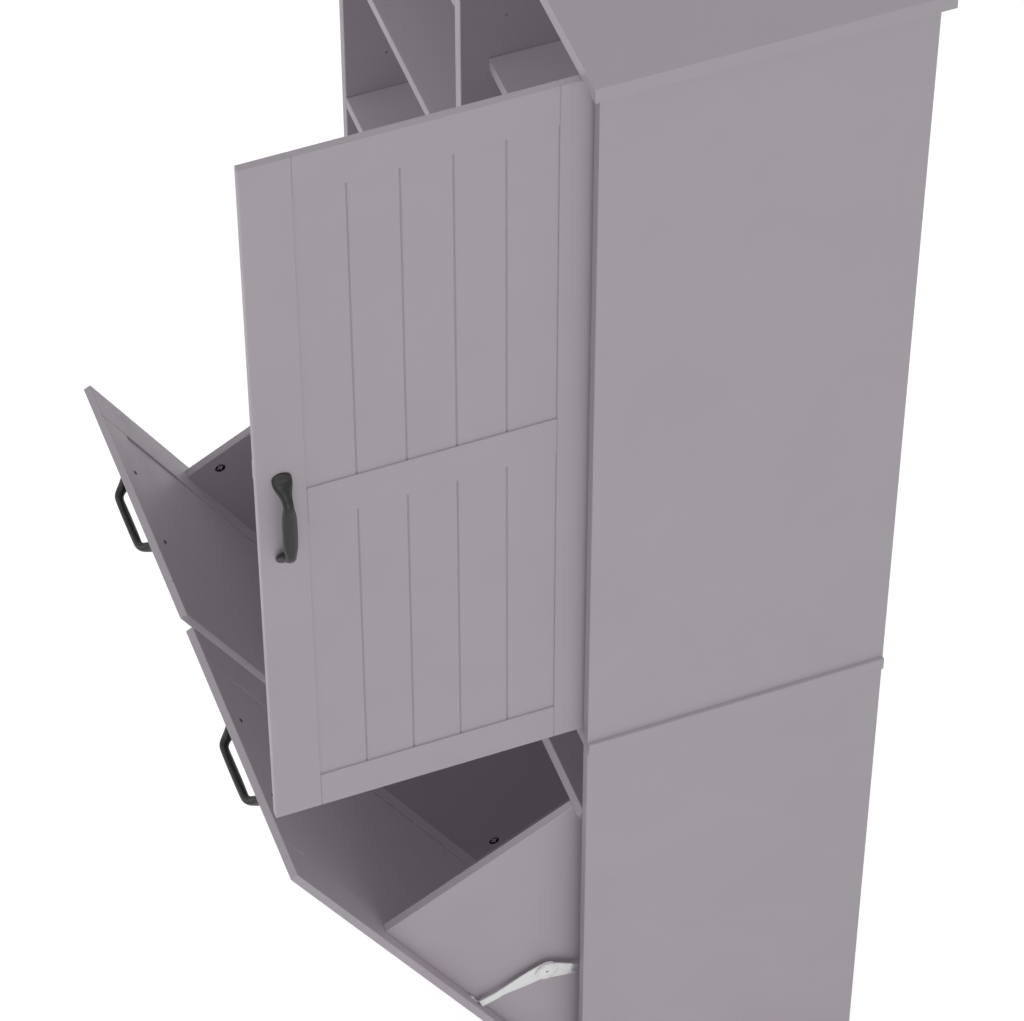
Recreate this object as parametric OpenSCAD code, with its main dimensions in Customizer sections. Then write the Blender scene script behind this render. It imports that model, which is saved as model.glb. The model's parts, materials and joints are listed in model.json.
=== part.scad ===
// Tall bathroom laundry cabinet with open shelves, a framed door and two tilt out hampers.
// The origin lies on the floor under the middle of the cabinet, +Z is up and the front faces -Y.
// It is drawn as it stands in use: the door swung open and both hampers tilted out on their stays.

/* [Carcass] */
// Width over the side panels
body_w = 900; // [860:5:960]
// Depth of the side panels
body_d = 395; // [375:5:430]
// Thickness of the side panels
side_t = 15; // [12:1:18]
// Thickness of the dividers, the shelves and the bottom board
board_t = 18; // [15:1:19]
// Thickness of the board between the lower and the upper part
mid_t = 20; // [16:1:25]
// Thickness of the top board
top_t = 21; // [16:1:28]
// Clear height of the upper part
upper_h = 1131; // [1050:1:1200]
// Height of the recessed plinth
plinth_h = 51.5; // [40:0.5:80]
// Setback of the plinth behind the front edges
toe_inset = 30; // [20:1:50]
// Overhang of the top board at each side
top_over_side = 17; // [8:1:24]
// Overhang of the top board at the front
top_over_front = 12; // [4:1:20]
// Overhang of the top board at the back
top_over_back = 10; // [0:1:20]
// Overhang of the middle board at each side
mid_over = 5; // [2:1:10]
// Easing on the long edges of the boards
ease = 0.8; // [0.4:0.1:1.5]

/* [Back] */
// Thickness of the back panels
back_t = 5; // [3:1:6]
// Distance from the rear edges to the back panels
back_inset = 8; // [6:1:12]
// Depth of the grooves that hold the back panels
back_groove = 7; // [4:1:8]
// Thickness of the rail that fixes the cabinet to a wall
rail_t = 18; // [15:1:22]
// Height of the wall rail
rail_h = 80; // [60:5:120]
// Radius of the screw holes in the wall rail
wall_hole_r = 3; // [2.5:0.25:4]
// Distance between the two wall screws
wall_hole_span = 600; // [400:10:700]

/* [Shelves] */
// Top of the lowest left shelf above the middle board
left_first = 292; // [240:1:320]
// Height of the space above the highest left shelf
left_last = 275; // [220:1:300]
// Top of the lower right shelf above the middle board
right_first = 380; // [320:1:420]
// Height of the space above the higher right shelf
right_last = 370; // [320:1:420]
// Setback of the right shelves behind the front edges
shelf_setback = 35; // [30:1:45]
// Play at each end of a shelf
shelf_gap = 0.5; // [0.3:0.1:1]
// Radius of a shelf pin
pin_r = 2.5; // [2:0.25:3]
// Length of a shelf pin inside its hole
pin_in = 6; // [4:0.5:7]
// Length of a shelf pin under the shelf
pin_out = 9; // [6:1:14]
// Distance from the front edges to the front row of pin holes
pin_inset = 57; // [45:1:70]
// Spacing of the spare pin holes above and below a shelf
pin_pitch = 83; // [60:1:90]

/* [Framed fronts] */
// Thickness of the door and of the hamper fronts
front_t = 11; // [10.5:0.5:16]
// Width of the stiles and rails
frame_w = 59; // [50:1:75]
// Thickness of the grooved panels
panel_t = 6; // [5:0.5:8]
// Length of the tongues that sit in the frame
tongue = 8; // [6:0.5:10]
// Number of planks that the grooves draw in a panel
planks = 5; // [3:1:7]
// Depth of the grooves between the planks
groove = 1.6; // [1:0.1:2]

/* [Door] */
// Play between the door and the boards beside it
door_gap = 3; // [2.6:0.1:4]
// Play above and below the door
door_gap_v = 2.5; // [2:0.1:4]
// Distance from the hinge edge to the pivot
hinge_set = 14; // [13:0.5:15]
// Distance from the outer face to the pivot
hinge_back = 9; // [8:0.25:9]
// Angle at which the door stands open
door_open = 90; // [0:5:90]
// Height of the door handle's middle above the middle board
door_handle_z = 558; // [450:1:650]
// Distance from each end of the door to its outer hinges
hinge_end = 100; // [70:5:150]
// Radius of the hinge cup
cup_r = 13; // [13:0.25:13.5]
// Depth of the hinge cup
cup_depth = 9; // [8.5:0.25:9.5]
// Distance from the hinge edge to the middle of the cup
cup_set = 18; // [17.5:0.25:18.5]

/* [Hampers] */
// Height of a hamper front
front_h = 767; // [740:1:800]
// Play above a closed hamper front
front_gap = 2.5; // [2:0.1:5]
// Play at each side of a hamper front
side_gap = 2; // [1.5:0.1:3]
// Angle at which a hamper rests on its stays
tilt = 30; // [20:1:30]
// Depth of a bin behind the front
bin_d = 294; // [250:1:310]
// Distance from the top of the front down to the rim of the bin
bin_drop = 234; // [200:1:260]
// Height of the bin above the lower edge of the front
bin_low = 10; // [6:1:20]
// Distance from the edges of the front to the side walls of the bin
bin_inset = 19; // [18:0.5:24]
// Thickness of the side walls and the floor of a bin
wall_t = 12; // [9:1:15]
// Thickness of the rear wall of a bin
bin_back_t = 10; // [6:1:12]
// Distance from the edges of the front to the edges of the rear wall
bin_back_inset = 4; // [2:1:10]
// Radius of a cam fitting
cam_r = 7.5; // [6:0.5:8]
// Depth of a cam fitting
cam_t = 9; // [7:0.5:9]
// Distance from the inner face of the front to a cam fitting
cam_set = 40; // [30:1:50]
// Distance from the rim and from the floor of the bin to a cam fitting
cam_end = 25; // [20:1:60]

/* [Hamper hinges] */
// Height of the gap under a hamper front that the hinge leaves fill
hinge_gap = 3; // [2.8:0.1:4]
// Distance of the hinge pin in front of the outer face
barrel_out = 4; // [3.5:0.25:6]
// Radius of the hinge barrel
barrel_r = 3; // [2.6:0.1:3.2]
// Radius of the hinge pin
hinge_pin_r = 1.5; // [1.2:0.1:1.7]
// Thickness of a hinge leaf
leaf_t = 1.2; // [1:0.05:1.3]
// Length of a hinge leaf
leaf_l = 60; // [40:5:80]
// Distance from the middle of the front to each hinge
leaf_x = 140; // [100:5:160]

/* [Stays] */
// Length of the arm on the hamper front between its pivots
arm_front = 90.9; // [88:0.1:94]
// Length of the arm on the cabinet between its pivots
arm_rear = 120; // [117:0.5:124]
// Height of the front pivot above the hinge pin of the closed hamper
hook_up = 288.5; // [284:0.5:291]
// Distance of the front pivot behind the outer face
hook_in = 20; // [19:0.5:22]
// Height of the rear pivot above the hinge pin
anchor_up = 251; // [248:0.5:254]
// Distance of the rear pivot behind the front edges
anchor_in = 71; // [69:0.5:74]
// Thickness of an arm
arm_t = 2; // [1.5:0.25:2.5]
// Radius of the round boss where the arms meet
boss_r = 15.5; // [12:0.5:16]
// Width by which the boss stands out past the round ends of the arms
boss_rim = 1; // [0.5:0.25:2]
// Radius of the front end of the front arm
tip_r = 6; // [4:0.25:6]
// Radius of the end of the rear arm
heel_r = 8; // [6:0.25:9]
// Length of the narrow part of the front arm
arm_neck = 24; // [16:1:40]
// Length over which the rear arm narrows behind the boss
arm_flare = 35; // [20:1:45]
// Radius of the stay's pins
stay_pin_r = 2.5; // [2:0.25:3]

/* [Handles] */
// Distance between the two screws of a handle
handle_span = 128; // [96:16:160]
// Distance from the top edge of a hamper front to its handle screws
handle_drop = 31; // [22:1:40]
// Radius of a handle foot
foot_r = 13; // [10:0.5:15]
// Thickness of a handle foot
foot_t = 3; // [2:0.5:5]
// Radius of the legs of a handle
leg_r = 5; // [4:0.25:6]
// Radius of the grip of a handle
grip_r = 5; // [4:0.25:6]
// Height of the middle of the grip above the front
grip_h = 24; // [20:0.5:28]
// Distance that each leg leans towards the middle
leg_lean = 15; // [6:0.5:18]

/* [Hidden] */
$fn = 48;

// Overrun of a cut past the face that it opens
over = 1;
// Play of a tongue, a groove or a loose seat
slip = 0.2;
// Radial play of a pin that turns or slides in its hole
run_fit = 0.05;
// Gap between a part that moves and what it passes
pass_gap = 0.4;

paint = [0.63, 0.60, 0.63];
paint_dark = [0.55, 0.52, 0.55];
black = [0.09, 0.09, 0.09];
steel = [0.80, 0.80, 0.80];
zinc = [0.62, 0.62, 0.64];

half_w = body_w / 2;
front_y = -body_d / 2;
back_y = body_d / 2;
back_face_y = back_y - back_inset - back_t;
base_top = plinth_h + board_t;
front_low = base_top + hinge_gap;
front_top = front_low + front_h;
mid_z = front_top + front_gap;
upper_z = mid_z + mid_t;
top_z = upper_z + upper_h;

// Each bay runs from the divider to a side panel
bay_in = board_t / 2;
bay_out = half_w - side_t;
bay_w = bay_out - bay_in;
bay_x = (bay_in + bay_out) / 2;
inner_d = back_face_y - front_y;

// Tops of the shelves above the middle board, evenly spaced between the first and the last
function spaced(first, last, n) = [for (i = [0 : n - 1]) first + i * (last - first) / (n - 1)];

left_shelves = spaced(left_first, upper_h - left_last, 3);
right_shelves = spaced(right_first, upper_h - right_last, 2);
pin_rows = [front_y + pin_inset, back_face_y - pin_inset];
pin_hole_depth = pin_in + slip;

door_w = bay_w - 2 * door_gap;
door_h = upper_h - 2 * door_gap_v;
door_z = upper_z + door_gap_v;
door_x = bay_in + door_gap;
door_inner = front_y + front_t;
hinge_x = bay_out - door_gap - hinge_set;
hinge_y = front_y + hinge_back;
hinge_zs = [door_z + hinge_end, door_z + door_h / 2, door_z + door_h - hinge_end];
cup_x = bay_out - door_gap - cup_set;

front_w = bay_w - 2 * side_gap;
pivot_y = front_y - barrel_out;
pivot_z = base_top + hinge_gap / 2;
bin_rim = front_top - bin_drop;
bin_foot = front_low + bin_low;
bin_h = bin_rim - bin_foot;
bin_y = front_y + front_t;
wall_x = front_w / 2 - bin_inset;

// A board with all its edges eased, its low corner at the origin
module outline(a, b, e)
{
  polygon([[e, 0], [a - e, 0], [a, e], [a, b - e], [a - e, b], [e, b], [0, b - e], [0, e]]);
}

module slab(size, e = ease)
{
  intersection() {
    linear_extrude(size.z) outline(size.x, size.y, e);
    translate([0, size.y, 0]) rotate([90, 0, 0]) linear_extrude(size.y) outline(size.x, size.z, e);
    rotate([90, 0, 90]) linear_extrude(size.x) outline(size.y, size.z, e);
  }
}

// A cylinder along X, its middle at the origin
module rod_x(r, l)
{
  rotate([0, 90, 0]) cylinder(r = r, h = l, center = true);
}

// A cylinder along Y, starting at the origin
module rod_y(r, l)
{
  rotate([-90, 0, 0]) cylinder(r = r, h = l);
}

// Everything that tilts with a hamper, given as it stands when the hamper is closed
module tilted()
{
  translate([0, pivot_y, pivot_z]) rotate([tilt, 0, 0]) translate([0, -pivot_y, -pivot_z]) children();
}

// Everything that swings with the door, given as it stands when the door is closed
module swung()
{
  translate([hinge_x, hinge_y, 0]) rotate([0, 0, door_open]) translate([-hinge_x, -hinge_y, 0]) children();
}

// Both sides of a hamper: the child is drawn for its right side and mirrored to its left
module both_sides(side)
{
  for (s = [0, 1]) translate([side * bay_x, 0, 0]) mirror([s, 0, 0]) children();
}

// Carcass boards

module top_board()
{
  w = body_w + 2 * top_over_side;
  d = body_d + top_over_front + top_over_back;
  color(paint) translate([-w / 2, front_y - top_over_front, top_z]) slab([w, d, top_t]);
}

module mid_board()
{
  w = body_w + 2 * mid_over;
  color(paint) translate([-w / 2, front_y, mid_z]) slab([w, body_d, mid_t]);
}

module bottom_board()
{
  color(paint) translate([-bay_out, front_y, plinth_h]) slab([2 * bay_out, inner_d, board_t]);
}

module plinth()
{
  color(paint) translate([-bay_out, front_y + toe_inset, 0]) slab([2 * bay_out, side_t, plinth_h]);
}

module centre_support()
{
  y = front_y + toe_inset + side_t;
  color(paint) translate([-board_t / 2, y, 0]) slab([board_t, back_face_y - y, plinth_h]);
}

// The groove that a back panel slides into, drawn for the right side
module back_groove_cut(z, h)
{
  translate([bay_out - over, back_face_y - slip, z - over])
    cube([back_groove + over, back_t + 2 * slip, h + 2 * over]);
}

// The pin holes on the face at x, cut towards dir, for the shelves whose tops are listed
module pin_holes(x, dir, tops)
{
  for (t = tops, k = [-1 : 1], y = pin_rows)
    translate([x + dir * (pin_hole_depth - over) / 2, y, upper_z + t - board_t - pin_r - slip + k * pin_pitch])
      rod_x(pin_r + run_fit, pin_hole_depth + over);
}

module upper_side_right()
{
  color(paint) difference() {
    translate([bay_out, front_y, upper_z]) slab([side_t, body_d, upper_h]);
    back_groove_cut(upper_z, upper_h);
    pin_holes(bay_out, 1, right_shelves);
  }
}

module upper_side_left()
{
  color(paint) difference() {
    translate([-half_w, front_y, upper_z]) slab([side_t, body_d, upper_h]);
    mirror([1, 0, 0]) back_groove_cut(upper_z, upper_h);
    pin_holes(-bay_out, -1, left_shelves);
  }
}

module lower_side(side)
{
  color(paint) mirror([side < 0 ? 1 : 0, 0, 0]) difference() {
    translate([bay_out, front_y, 0]) slab([side_t, body_d, mid_z]);
    back_groove_cut(0, mid_z);
  }
}

module upper_divider()
{
  color(paint) difference() {
    translate([-bay_in, front_y, upper_z]) slab([board_t, inner_d, upper_h]);
    translate([-bay_in - over, back_face_y - rail_t, top_z - rail_h])
      cube([board_t + 2 * over, rail_t + over, rail_h + over]);
    pin_holes(-bay_in, 1, left_shelves);
    pin_holes(bay_in, -1, right_shelves);
  }
}

module lower_divider()
{
  color(paint) translate([-bay_in, front_y, base_top]) slab([board_t, inner_d, mid_z - base_top]);
}

module wall_holes()
{
  for (s = [-1, 1])
    translate([s * wall_hole_span / 2, back_face_y - rail_t - over, top_z - rail_h / 2])
      rod_y(wall_hole_r, rail_t + back_t + 2 * over);
}

module back_panel(z, h)
{
  w = 2 * (bay_out + back_groove - slip);
  translate([-w / 2, back_face_y, z]) cube([w, back_t, h]);
}

module upper_back()
{
  color(paint_dark) difference() {
    back_panel(upper_z, upper_h);
    wall_holes();
  }
}

module lower_back()
{
  color(paint_dark) back_panel(plinth_h, mid_z - plinth_h);
}

module wall_rail()
{
  color(paint) difference() {
    translate([-bay_out, back_face_y - rail_t, top_z - rail_h]) slab([2 * bay_out, rail_t, rail_h]);
    wall_holes();
  }
}

module shelf(side, top, setback)
{
  w = bay_w - 2 * shelf_gap;
  color(paint) translate([side * bay_x - w / 2, front_y + setback, upper_z + top - board_t])
    slab([w, inner_d - setback, board_t]);
}

// One pin in each hole under a shelf
module pin_set(side, tops)
{
  l = pin_in + pin_out;
  for (t = tops, y = pin_rows, s = [-1, 1])
    translate([side * bay_x + s * (bay_w / 2 + pin_in - l / 2), y, upper_z + t - board_t - pin_r - slip])
      rod_x(pin_r, l);
}

module shelf_pins()
{
  color(zinc) {
    pin_set(-1, left_shelves);
    pin_set(1, right_shelves);
  }
}

// Framed fronts: each is drawn in a frame whose low front corner is the origin

groove_d = tongue + slip;
groove_w = panel_t + slip;
groove_y = (front_t - groove_w) / 2;
tongue_y = (front_t - panel_t) / 2;

// The left stile of a front of height h
module stile(h)
{
  difference() {
    slab([frame_w, front_t, h]);
    translate([frame_w - groove_d, groove_y, -over]) cube([groove_d + over, groove_w, h + 2 * over]);
  }
}

module right_stile(w, h)
{
  translate([w, 0, 0]) mirror([1, 0, 0]) stile(h);
}

// A rail between the stiles of a front of width w, grooved on its upper edge, its lower edge or both
module rail(w, up, down)
{
  l = w - 2 * frame_w;
  difference() {
    union() {
      translate([frame_w, 0, 0]) slab([l, front_t, frame_w]);
      translate([frame_w - tongue, tongue_y, 0]) cube([l + 2 * tongue, panel_t, frame_w]);
    }
    if (up)
      translate([frame_w - tongue - over, groove_y, frame_w - groove_d])
        cube([l + 2 * tongue + 2 * over, groove_w, groove_d + over]);
    if (down)
      translate([frame_w - tongue - over, groove_y, -over])
        cube([l + 2 * tongue + 2 * over, groove_w, groove_d + over]);
  }
}

// A grooved panel for a front of width w, showing between z and z + h
module grooved_panel(w, z, h)
{
  l = w - 2 * frame_w;
  pitch = l / planks;
  side = groove * sqrt(2);
  difference() {
    translate([frame_w - tongue, tongue_y, z - tongue]) cube([l + 2 * tongue, panel_t, h + 2 * tongue]);
    for (i = [1 : planks - 1])
      translate([frame_w + i * pitch, tongue_y, z - tongue - over]) rotate([0, 0, 45])
        translate([-side / 2, -side / 2, 0]) cube([side, side, h + 2 * tongue + 2 * over]);
  }
}

// Handles: drawn along X on the plane z = 0, standing up along +Z

screw_r = 2;
screw_head_r = 3;
screw_head_t = 2;
screw_bite = 6;

module handle()
{
  rise = grip_h - foot_t / 2;
  lean = atan2(leg_lean, rise);
  reach = sqrt(leg_lean * leg_lean + rise * rise);
  knuckle_r = leg_r + slip;
  grip_l = handle_span - 2 * leg_lean;
  difference() {
    union() {
      for (s = [-1, 1]) {
        translate([s * handle_span / 2, 0, 0]) cylinder(r = foot_r, h = foot_t);
        translate([s * handle_span / 2, 0, foot_t / 2]) rotate([0, -s * lean, 0]) cylinder(r = leg_r, h = reach);
        translate([s * grip_l / 2, 0, grip_h]) sphere(r = knuckle_r);
      }
      translate([0, 0, grip_h]) rod_x(grip_r, grip_l);
    }
    // The slanted legs end level with the underside of the feet
    translate([-handle_span, -foot_r, -foot_r]) cube([2 * handle_span, 2 * foot_r, foot_r]);
    for (s = [-1, 1])
      translate([s * handle_span / 2, 0, -over]) cylinder(r = screw_r - run_fit, h = screw_bite + slip + over);
  }
}

// The two screws of a handle, whose heads lie on the inner face
module handle_screws()
{
  for (s = [-1, 1]) translate([s * handle_span / 2, 0, 0]) {
    translate([0, 0, -front_t - screw_head_t]) cylinder(r = screw_head_r, h = screw_head_t);
    translate([0, 0, -front_t - screw_head_t / 2])
      cylinder(r = screw_r - 2 * run_fit, h = front_t + screw_head_t / 2 + screw_bite);
  }
}

module handle_bores()
{
  for (s = [-1, 1])
    translate([s * handle_span / 2, 0, -front_t - over]) cylinder(r = screw_r + slip, h = front_t + 2 * over);
}

// Where the handle of a closed hamper stands
module at_hamper_handle(side)
{
  translate([side * bay_x, front_y, front_top - handle_drop]) rotate([90, 0, 0]) children();
}

// Where the handle of the closed door stands
module at_door_handle()
{
  translate([door_x + frame_w / 2, front_y, upper_z + door_handle_z]) rotate([90, 90, 0]) children();
}

// Door

module door_stile_hinge()
{
  color(paint) swung() difference() {
    translate([door_x, front_y, door_z]) right_stile(door_w, door_h);
    for (z = hinge_zs)
      translate([cup_x, door_inner - cup_depth - slip, z]) rod_y(cup_r + run_fit, cup_depth + slip + over);
  }
}

module door_stile_free()
{
  color(paint) swung() difference() {
    translate([door_x, front_y, door_z]) stile(door_h);
    at_door_handle() handle_bores();
  }
}

module door_rail(z, up, down)
{
  color(paint) swung() translate([door_x, front_y, z]) rail(door_w, up, down);
}

door_mid_z = door_z + (door_h - frame_w) / 2;
door_panel_h = door_mid_z - door_z - frame_w;

module door_panel(z)
{
  color(paint) swung() translate([door_x, front_y, z]) grooved_panel(door_w, 0, door_panel_h);
}

module door_handle()
{
  color(black) swung() at_door_handle() handle();
}

module door_handle_screws()
{
  color(black) swung() at_door_handle() handle_screws();
}

// Hinges of the door: a cup with its pin in the door, and a cranked arm on a plate on the side panel

cup_wall = 1;
flange_t = 1;
flange_h = 44;
flange_w = 28;
cup_pin_r = 1.5;
eye_r = 3.5;
arm_wide = 8;
crank_t = 3;
// Distance from the pivot to the leg and to the crossing of the cranked arm
crank_leg = 7.5;
crank_cross = 19;
plate_t = 2;
plate_l = 36;
plate_h = 30;

module hinge_cup(z)
{
  chord = sqrt(pow(cup_r, 2) - pow(hinge_x - cup_x, 2)) - cup_wall / 2;
  difference() {
    union() {
      translate([cup_x, door_inner - cup_depth, z]) rod_y(cup_r, cup_depth);
      translate([cup_x - flange_w / 2, door_inner, z - flange_h / 2]) cube([flange_w, flange_t, flange_h]);
    }
    translate([cup_x, door_inner - cup_depth + cup_wall, z]) rod_y(cup_r - cup_wall, cup_depth + flange_t);
  }
  translate([hinge_x, hinge_y, z - chord]) cylinder(r = cup_pin_r, h = 2 * chord);
}

module door_hinge_cups()
{
  color(zinc) swung() for (z = hinge_zs) hinge_cup(z);
}

module hinge_arm(z)
{
  leg_x = hinge_x - crank_leg - crank_t;
  difference() {
    union() {
      translate([hinge_x, hinge_y, z - arm_wide / 2]) cylinder(r = eye_r, h = arm_wide);
      translate([leg_x, hinge_y - crank_t / 2, z - arm_wide / 2])
        cube([crank_leg + crank_t, crank_t, arm_wide]);
      translate([leg_x, hinge_y - crank_t / 2, z - arm_wide / 2])
        cube([crank_t, crank_cross + crank_t + crank_t / 2, arm_wide]);
      translate([leg_x, hinge_y + crank_cross, z - arm_wide / 2])
        cube([bay_out - plate_t - leg_x, crank_t, arm_wide]);
    }
    translate([hinge_x, hinge_y, z - arm_wide / 2 - over])
      cylinder(r = cup_pin_r + run_fit, h = arm_wide + 2 * over);
  }
}

module door_hinge_arms()
{
  color(steel) for (z = hinge_zs) hinge_arm(z);
}

module door_hinge_plates()
{
  y = hinge_y + crank_cross - crank_t;
  color(steel) for (z = hinge_zs) {
    translate([bay_out - plate_t, y, z - plate_h / 2]) cube([plate_t, plate_l, plate_h]);
    for (s = [-1, 1])
      translate([bay_out - plate_t - screw_head_t / 2, y + plate_l / 2, z + s * plate_h / 3])
        rod_x(screw_head_r, screw_head_t);
  }
}

// Magnetic catch on the divider and its plate on the free stile

catch_w = 12;
catch_d = 26;
catch_h = 40;
catch_up = 640;
strike_t = 1;
strike_w = 16;
strike_h = 34;

module door_catch()
{
  y = door_inner + strike_t + pass_gap;
  color([0.85, 0.85, 0.85]) translate([bay_in, y, upper_z + catch_up - catch_h / 2])
    slab([catch_w, catch_d, catch_h]);
}

module door_strike()
{
  color(zinc) swung() translate([door_x, door_inner, upper_z + catch_up - strike_h / 2])
    cube([strike_w, strike_t, strike_h]);
}

// Hampers: side is -1 for the left one and 1 for the right one

module at_front(side)
{
  translate([side * bay_x - front_w / 2, front_y, front_low]) children();
}

module front_stiles(side)
{
  color(paint) tilted() at_front(side) {
    stile(front_h);
    right_stile(front_w, front_h);
  }
}

module front_rails(side)
{
  color(paint) tilted() difference() {
    at_front(side) {
      rail(front_w, true, false);
      translate([0, 0, front_h - frame_w]) rail(front_w, false, true);
    }
    at_hamper_handle(side) handle_bores();
  }
}

module front_panel(side)
{
  color(paint) tilted() at_front(side) grooved_panel(front_w, frame_w, front_h - 2 * frame_w);
}

cam_y = bin_y + cam_set;
cam_zs = [bin_foot + cam_end, bin_rim - cam_end];
cam_slot = 1.5;
cam_slot_d = 1.5;

module bin_walls(side)
{
  color(paint) tilted() both_sides(side) difference() {
    translate([wall_x - wall_t, bin_y, bin_foot]) slab([wall_t, bin_d, bin_h]);
    for (z = cam_zs)
      translate([wall_x - wall_t + (cam_t + slip - over) / 2, cam_y, z])
        rod_x(cam_r + run_fit, cam_t + slip + over);
  }
}

module bin_back(side)
{
  w = front_w - 2 * bin_back_inset;
  color(paint) tilted() translate([side * bay_x - w / 2, bin_y + bin_d, bin_foot])
    slab([w, bin_back_t, bin_h]);
}

module bin_floor(side)
{
  w = 2 * (wall_x - wall_t);
  color(paint) tilted() translate([side * bay_x - w / 2, bin_y, bin_foot]) slab([w, bin_d, wall_t]);
}

module hamper_handle(side)
{
  color(black) tilted() at_hamper_handle(side) handle();
}

// A cam fitting in the inner face of a bin wall, with a crossed slot
module cam()
{
  difference() {
    rod_x(cam_r, cam_t);
    for (a = [0, 90])
      translate([-cam_t / 2, 0, 0]) rotate([a, 0, 0]) cube([2 * cam_slot_d, cam_r, cam_slot], center = true);
  }
}

module fasteners(side)
{
  color(black) tilted() {
    at_hamper_handle(side) handle_screws();
    both_sides(side) for (z = cam_zs) translate([wall_x - wall_t + cam_t / 2, cam_y, z]) cam();
  }
}

// Butt hinges under the hamper fronts: three knuckles on the base, two on the leaf

knuckles = 5;
knuckle_play = 0.3;
knuckle_l = leaf_l / knuckles;
leaf_depth = front_t - pass_gap;
base_depth = 24;

// The knuckles counted from first, as seen along X from the left end of a hinge
module knuckle_row(first)
{
  for (i = [first : 2 : knuckles - 1])
    translate([-leaf_l / 2 + (i + 0.5) * knuckle_l, pivot_y, pivot_z]) rod_x(barrel_r, knuckle_l - knuckle_play);
}

// Room for the other row's knuckles and the pin bore
module knuckle_cuts(first)
{
  for (i = [first : 2 : knuckles - 1])
    translate([-leaf_l / 2 + i * knuckle_l - knuckle_play / 2, pivot_y - barrel_r - over, pivot_z - barrel_r - over])
      cube([knuckle_l + knuckle_play, 2 * (barrel_r + over), 2 * (barrel_r + over)]);
}

module hinge_base()
{
  difference() {
    union() {
      knuckle_row(0);
      translate([-leaf_l / 2, pivot_y, base_top]) cube([leaf_l, barrel_out + base_depth, leaf_t]);
    }
    knuckle_cuts(1);
    translate([0, pivot_y, pivot_z]) rod_x(hinge_pin_r, leaf_l + 2 * over);
  }
  translate([0, pivot_y, pivot_z]) rod_x(hinge_pin_r, leaf_l);
}

module hamper_hinge_bases()
{
  color(zinc) for (side = [-1, 1], s = [-1, 1]) translate([side * bay_x + s * leaf_x, 0, 0]) hinge_base();
}

module hinge_leaf()
{
  difference() {
    union() {
      knuckle_row(1);
      translate([-leaf_l / 2, pivot_y, front_low - leaf_t]) cube([leaf_l, barrel_out + leaf_depth, leaf_t]);
    }
    knuckle_cuts(0);
    translate([0, pivot_y, pivot_z]) rod_x(hinge_pin_r + run_fit, leaf_l + 2 * over);
  }
}

module hinge_leaves(side)
{
  color(zinc) tilted() for (s = [-1, 1]) translate([side * bay_x + s * leaf_x, 0, 0]) hinge_leaf();
}

// Stays: two arms in the gap beside each bin wall, drawn for the right side of a hamper

// Turns a point of the closed hamper to where it stands when tilted, as distances from the hinge pin
function turned(p) = [p.x * cos(tilt) - p.y * sin(tilt), p.x * sin(tilt) + p.y * cos(tilt)];

hook_closed = [barrel_out + hook_in, hook_up];
hook = turned(hook_closed);
anchor = [barrel_out + anchor_in, anchor_up];
stay_span = norm(anchor - hook);
stay_along = (arm_front * arm_front - arm_rear * arm_rear + stay_span * stay_span) / (2 * stay_span);
stay_rise = sqrt(arm_front * arm_front - stay_along * stay_along);
stay_dir = (anchor - hook) / stay_span;
elbow = hook + stay_along * stay_dir + stay_rise * [-stay_dir.y, stay_dir.x];

// Distances from the outer face of the bin wall to the faces of the arms
side_room = side_gap + bin_inset;
arm_x = wall_x + (side_room - arm_t) / 2 - arm_t;
rear_arm_x = arm_x + arm_t + pass_gap;
elbow_r = boss_r - boss_rim;
boss_t = 1.5;
dimple_r = 1.5;
hook_plate_t = 1.5;
hook_plate_h = 30;
hook_ear_t = 1.5;
anchor_plate_t = 1.5;
anchor_plate_w = 34;
anchor_plate_h = 22;

// A flat link in the YZ plane from the origin to l along Y, with round ends of radius r0 and r1
// It is r0 wide to each side up to a, and r1 from b on
module link(l, r0, r1, a, b, t)
{
  rotate([90, 0, 90]) {
    cylinder(r = r0, h = t);
    translate([l, 0, 0]) cylinder(r = r1, h = t);
    linear_extrude(t) polygon([[0, -r0], [a, -r0], [b, -r1], [l, -r1], [l, r1], [b, r1], [a, r0], [0, r0]]);
  }
}

// Puts a child at a point given from the hinge pin, at distance x from the middle of the hamper
module at_stay(p, x)
{
  translate([x, pivot_y + p.x, pivot_z + p.y]) children();
}

module front_arm()
{
  a = atan2(elbow.y - hook.y, elbow.x - hook.x);
  difference() {
    at_stay(hook, arm_x) rotate([a, 0, 0])
      link(arm_front, tip_r, elbow_r, arm_neck, arm_front - elbow_r, arm_t);
    at_stay(hook, arm_x + arm_t / 2) rod_x(stay_pin_r + run_fit, arm_t + 2 * over);
  }
}

module rear_arm()
{
  a = atan2(anchor.y - elbow.y, anchor.x - elbow.x);
  difference() {
    union() {
      at_stay(elbow, rear_arm_x) rotate([a, 0, 0])
        link(arm_rear, elbow_r, heel_r, elbow_r, elbow_r + arm_flare, arm_t);
      at_stay(elbow, rear_arm_x + (arm_t + boss_t) / 2) rod_x(boss_r, arm_t + boss_t);
    }
    at_stay(anchor, rear_arm_x + arm_t / 2) rod_x(stay_pin_r + run_fit, arm_t + 2 * over);
    at_stay(elbow, rear_arm_x + arm_t + boss_t) rod_x(dimple_r, 2 * boss_t);
  }
}

module stay_front_arms(side)
{
  color(steel) both_sides(side) front_arm();
}

module stay_rear_arms(side)
{
  color(steel) both_sides(side) rear_arm();
}

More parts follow.
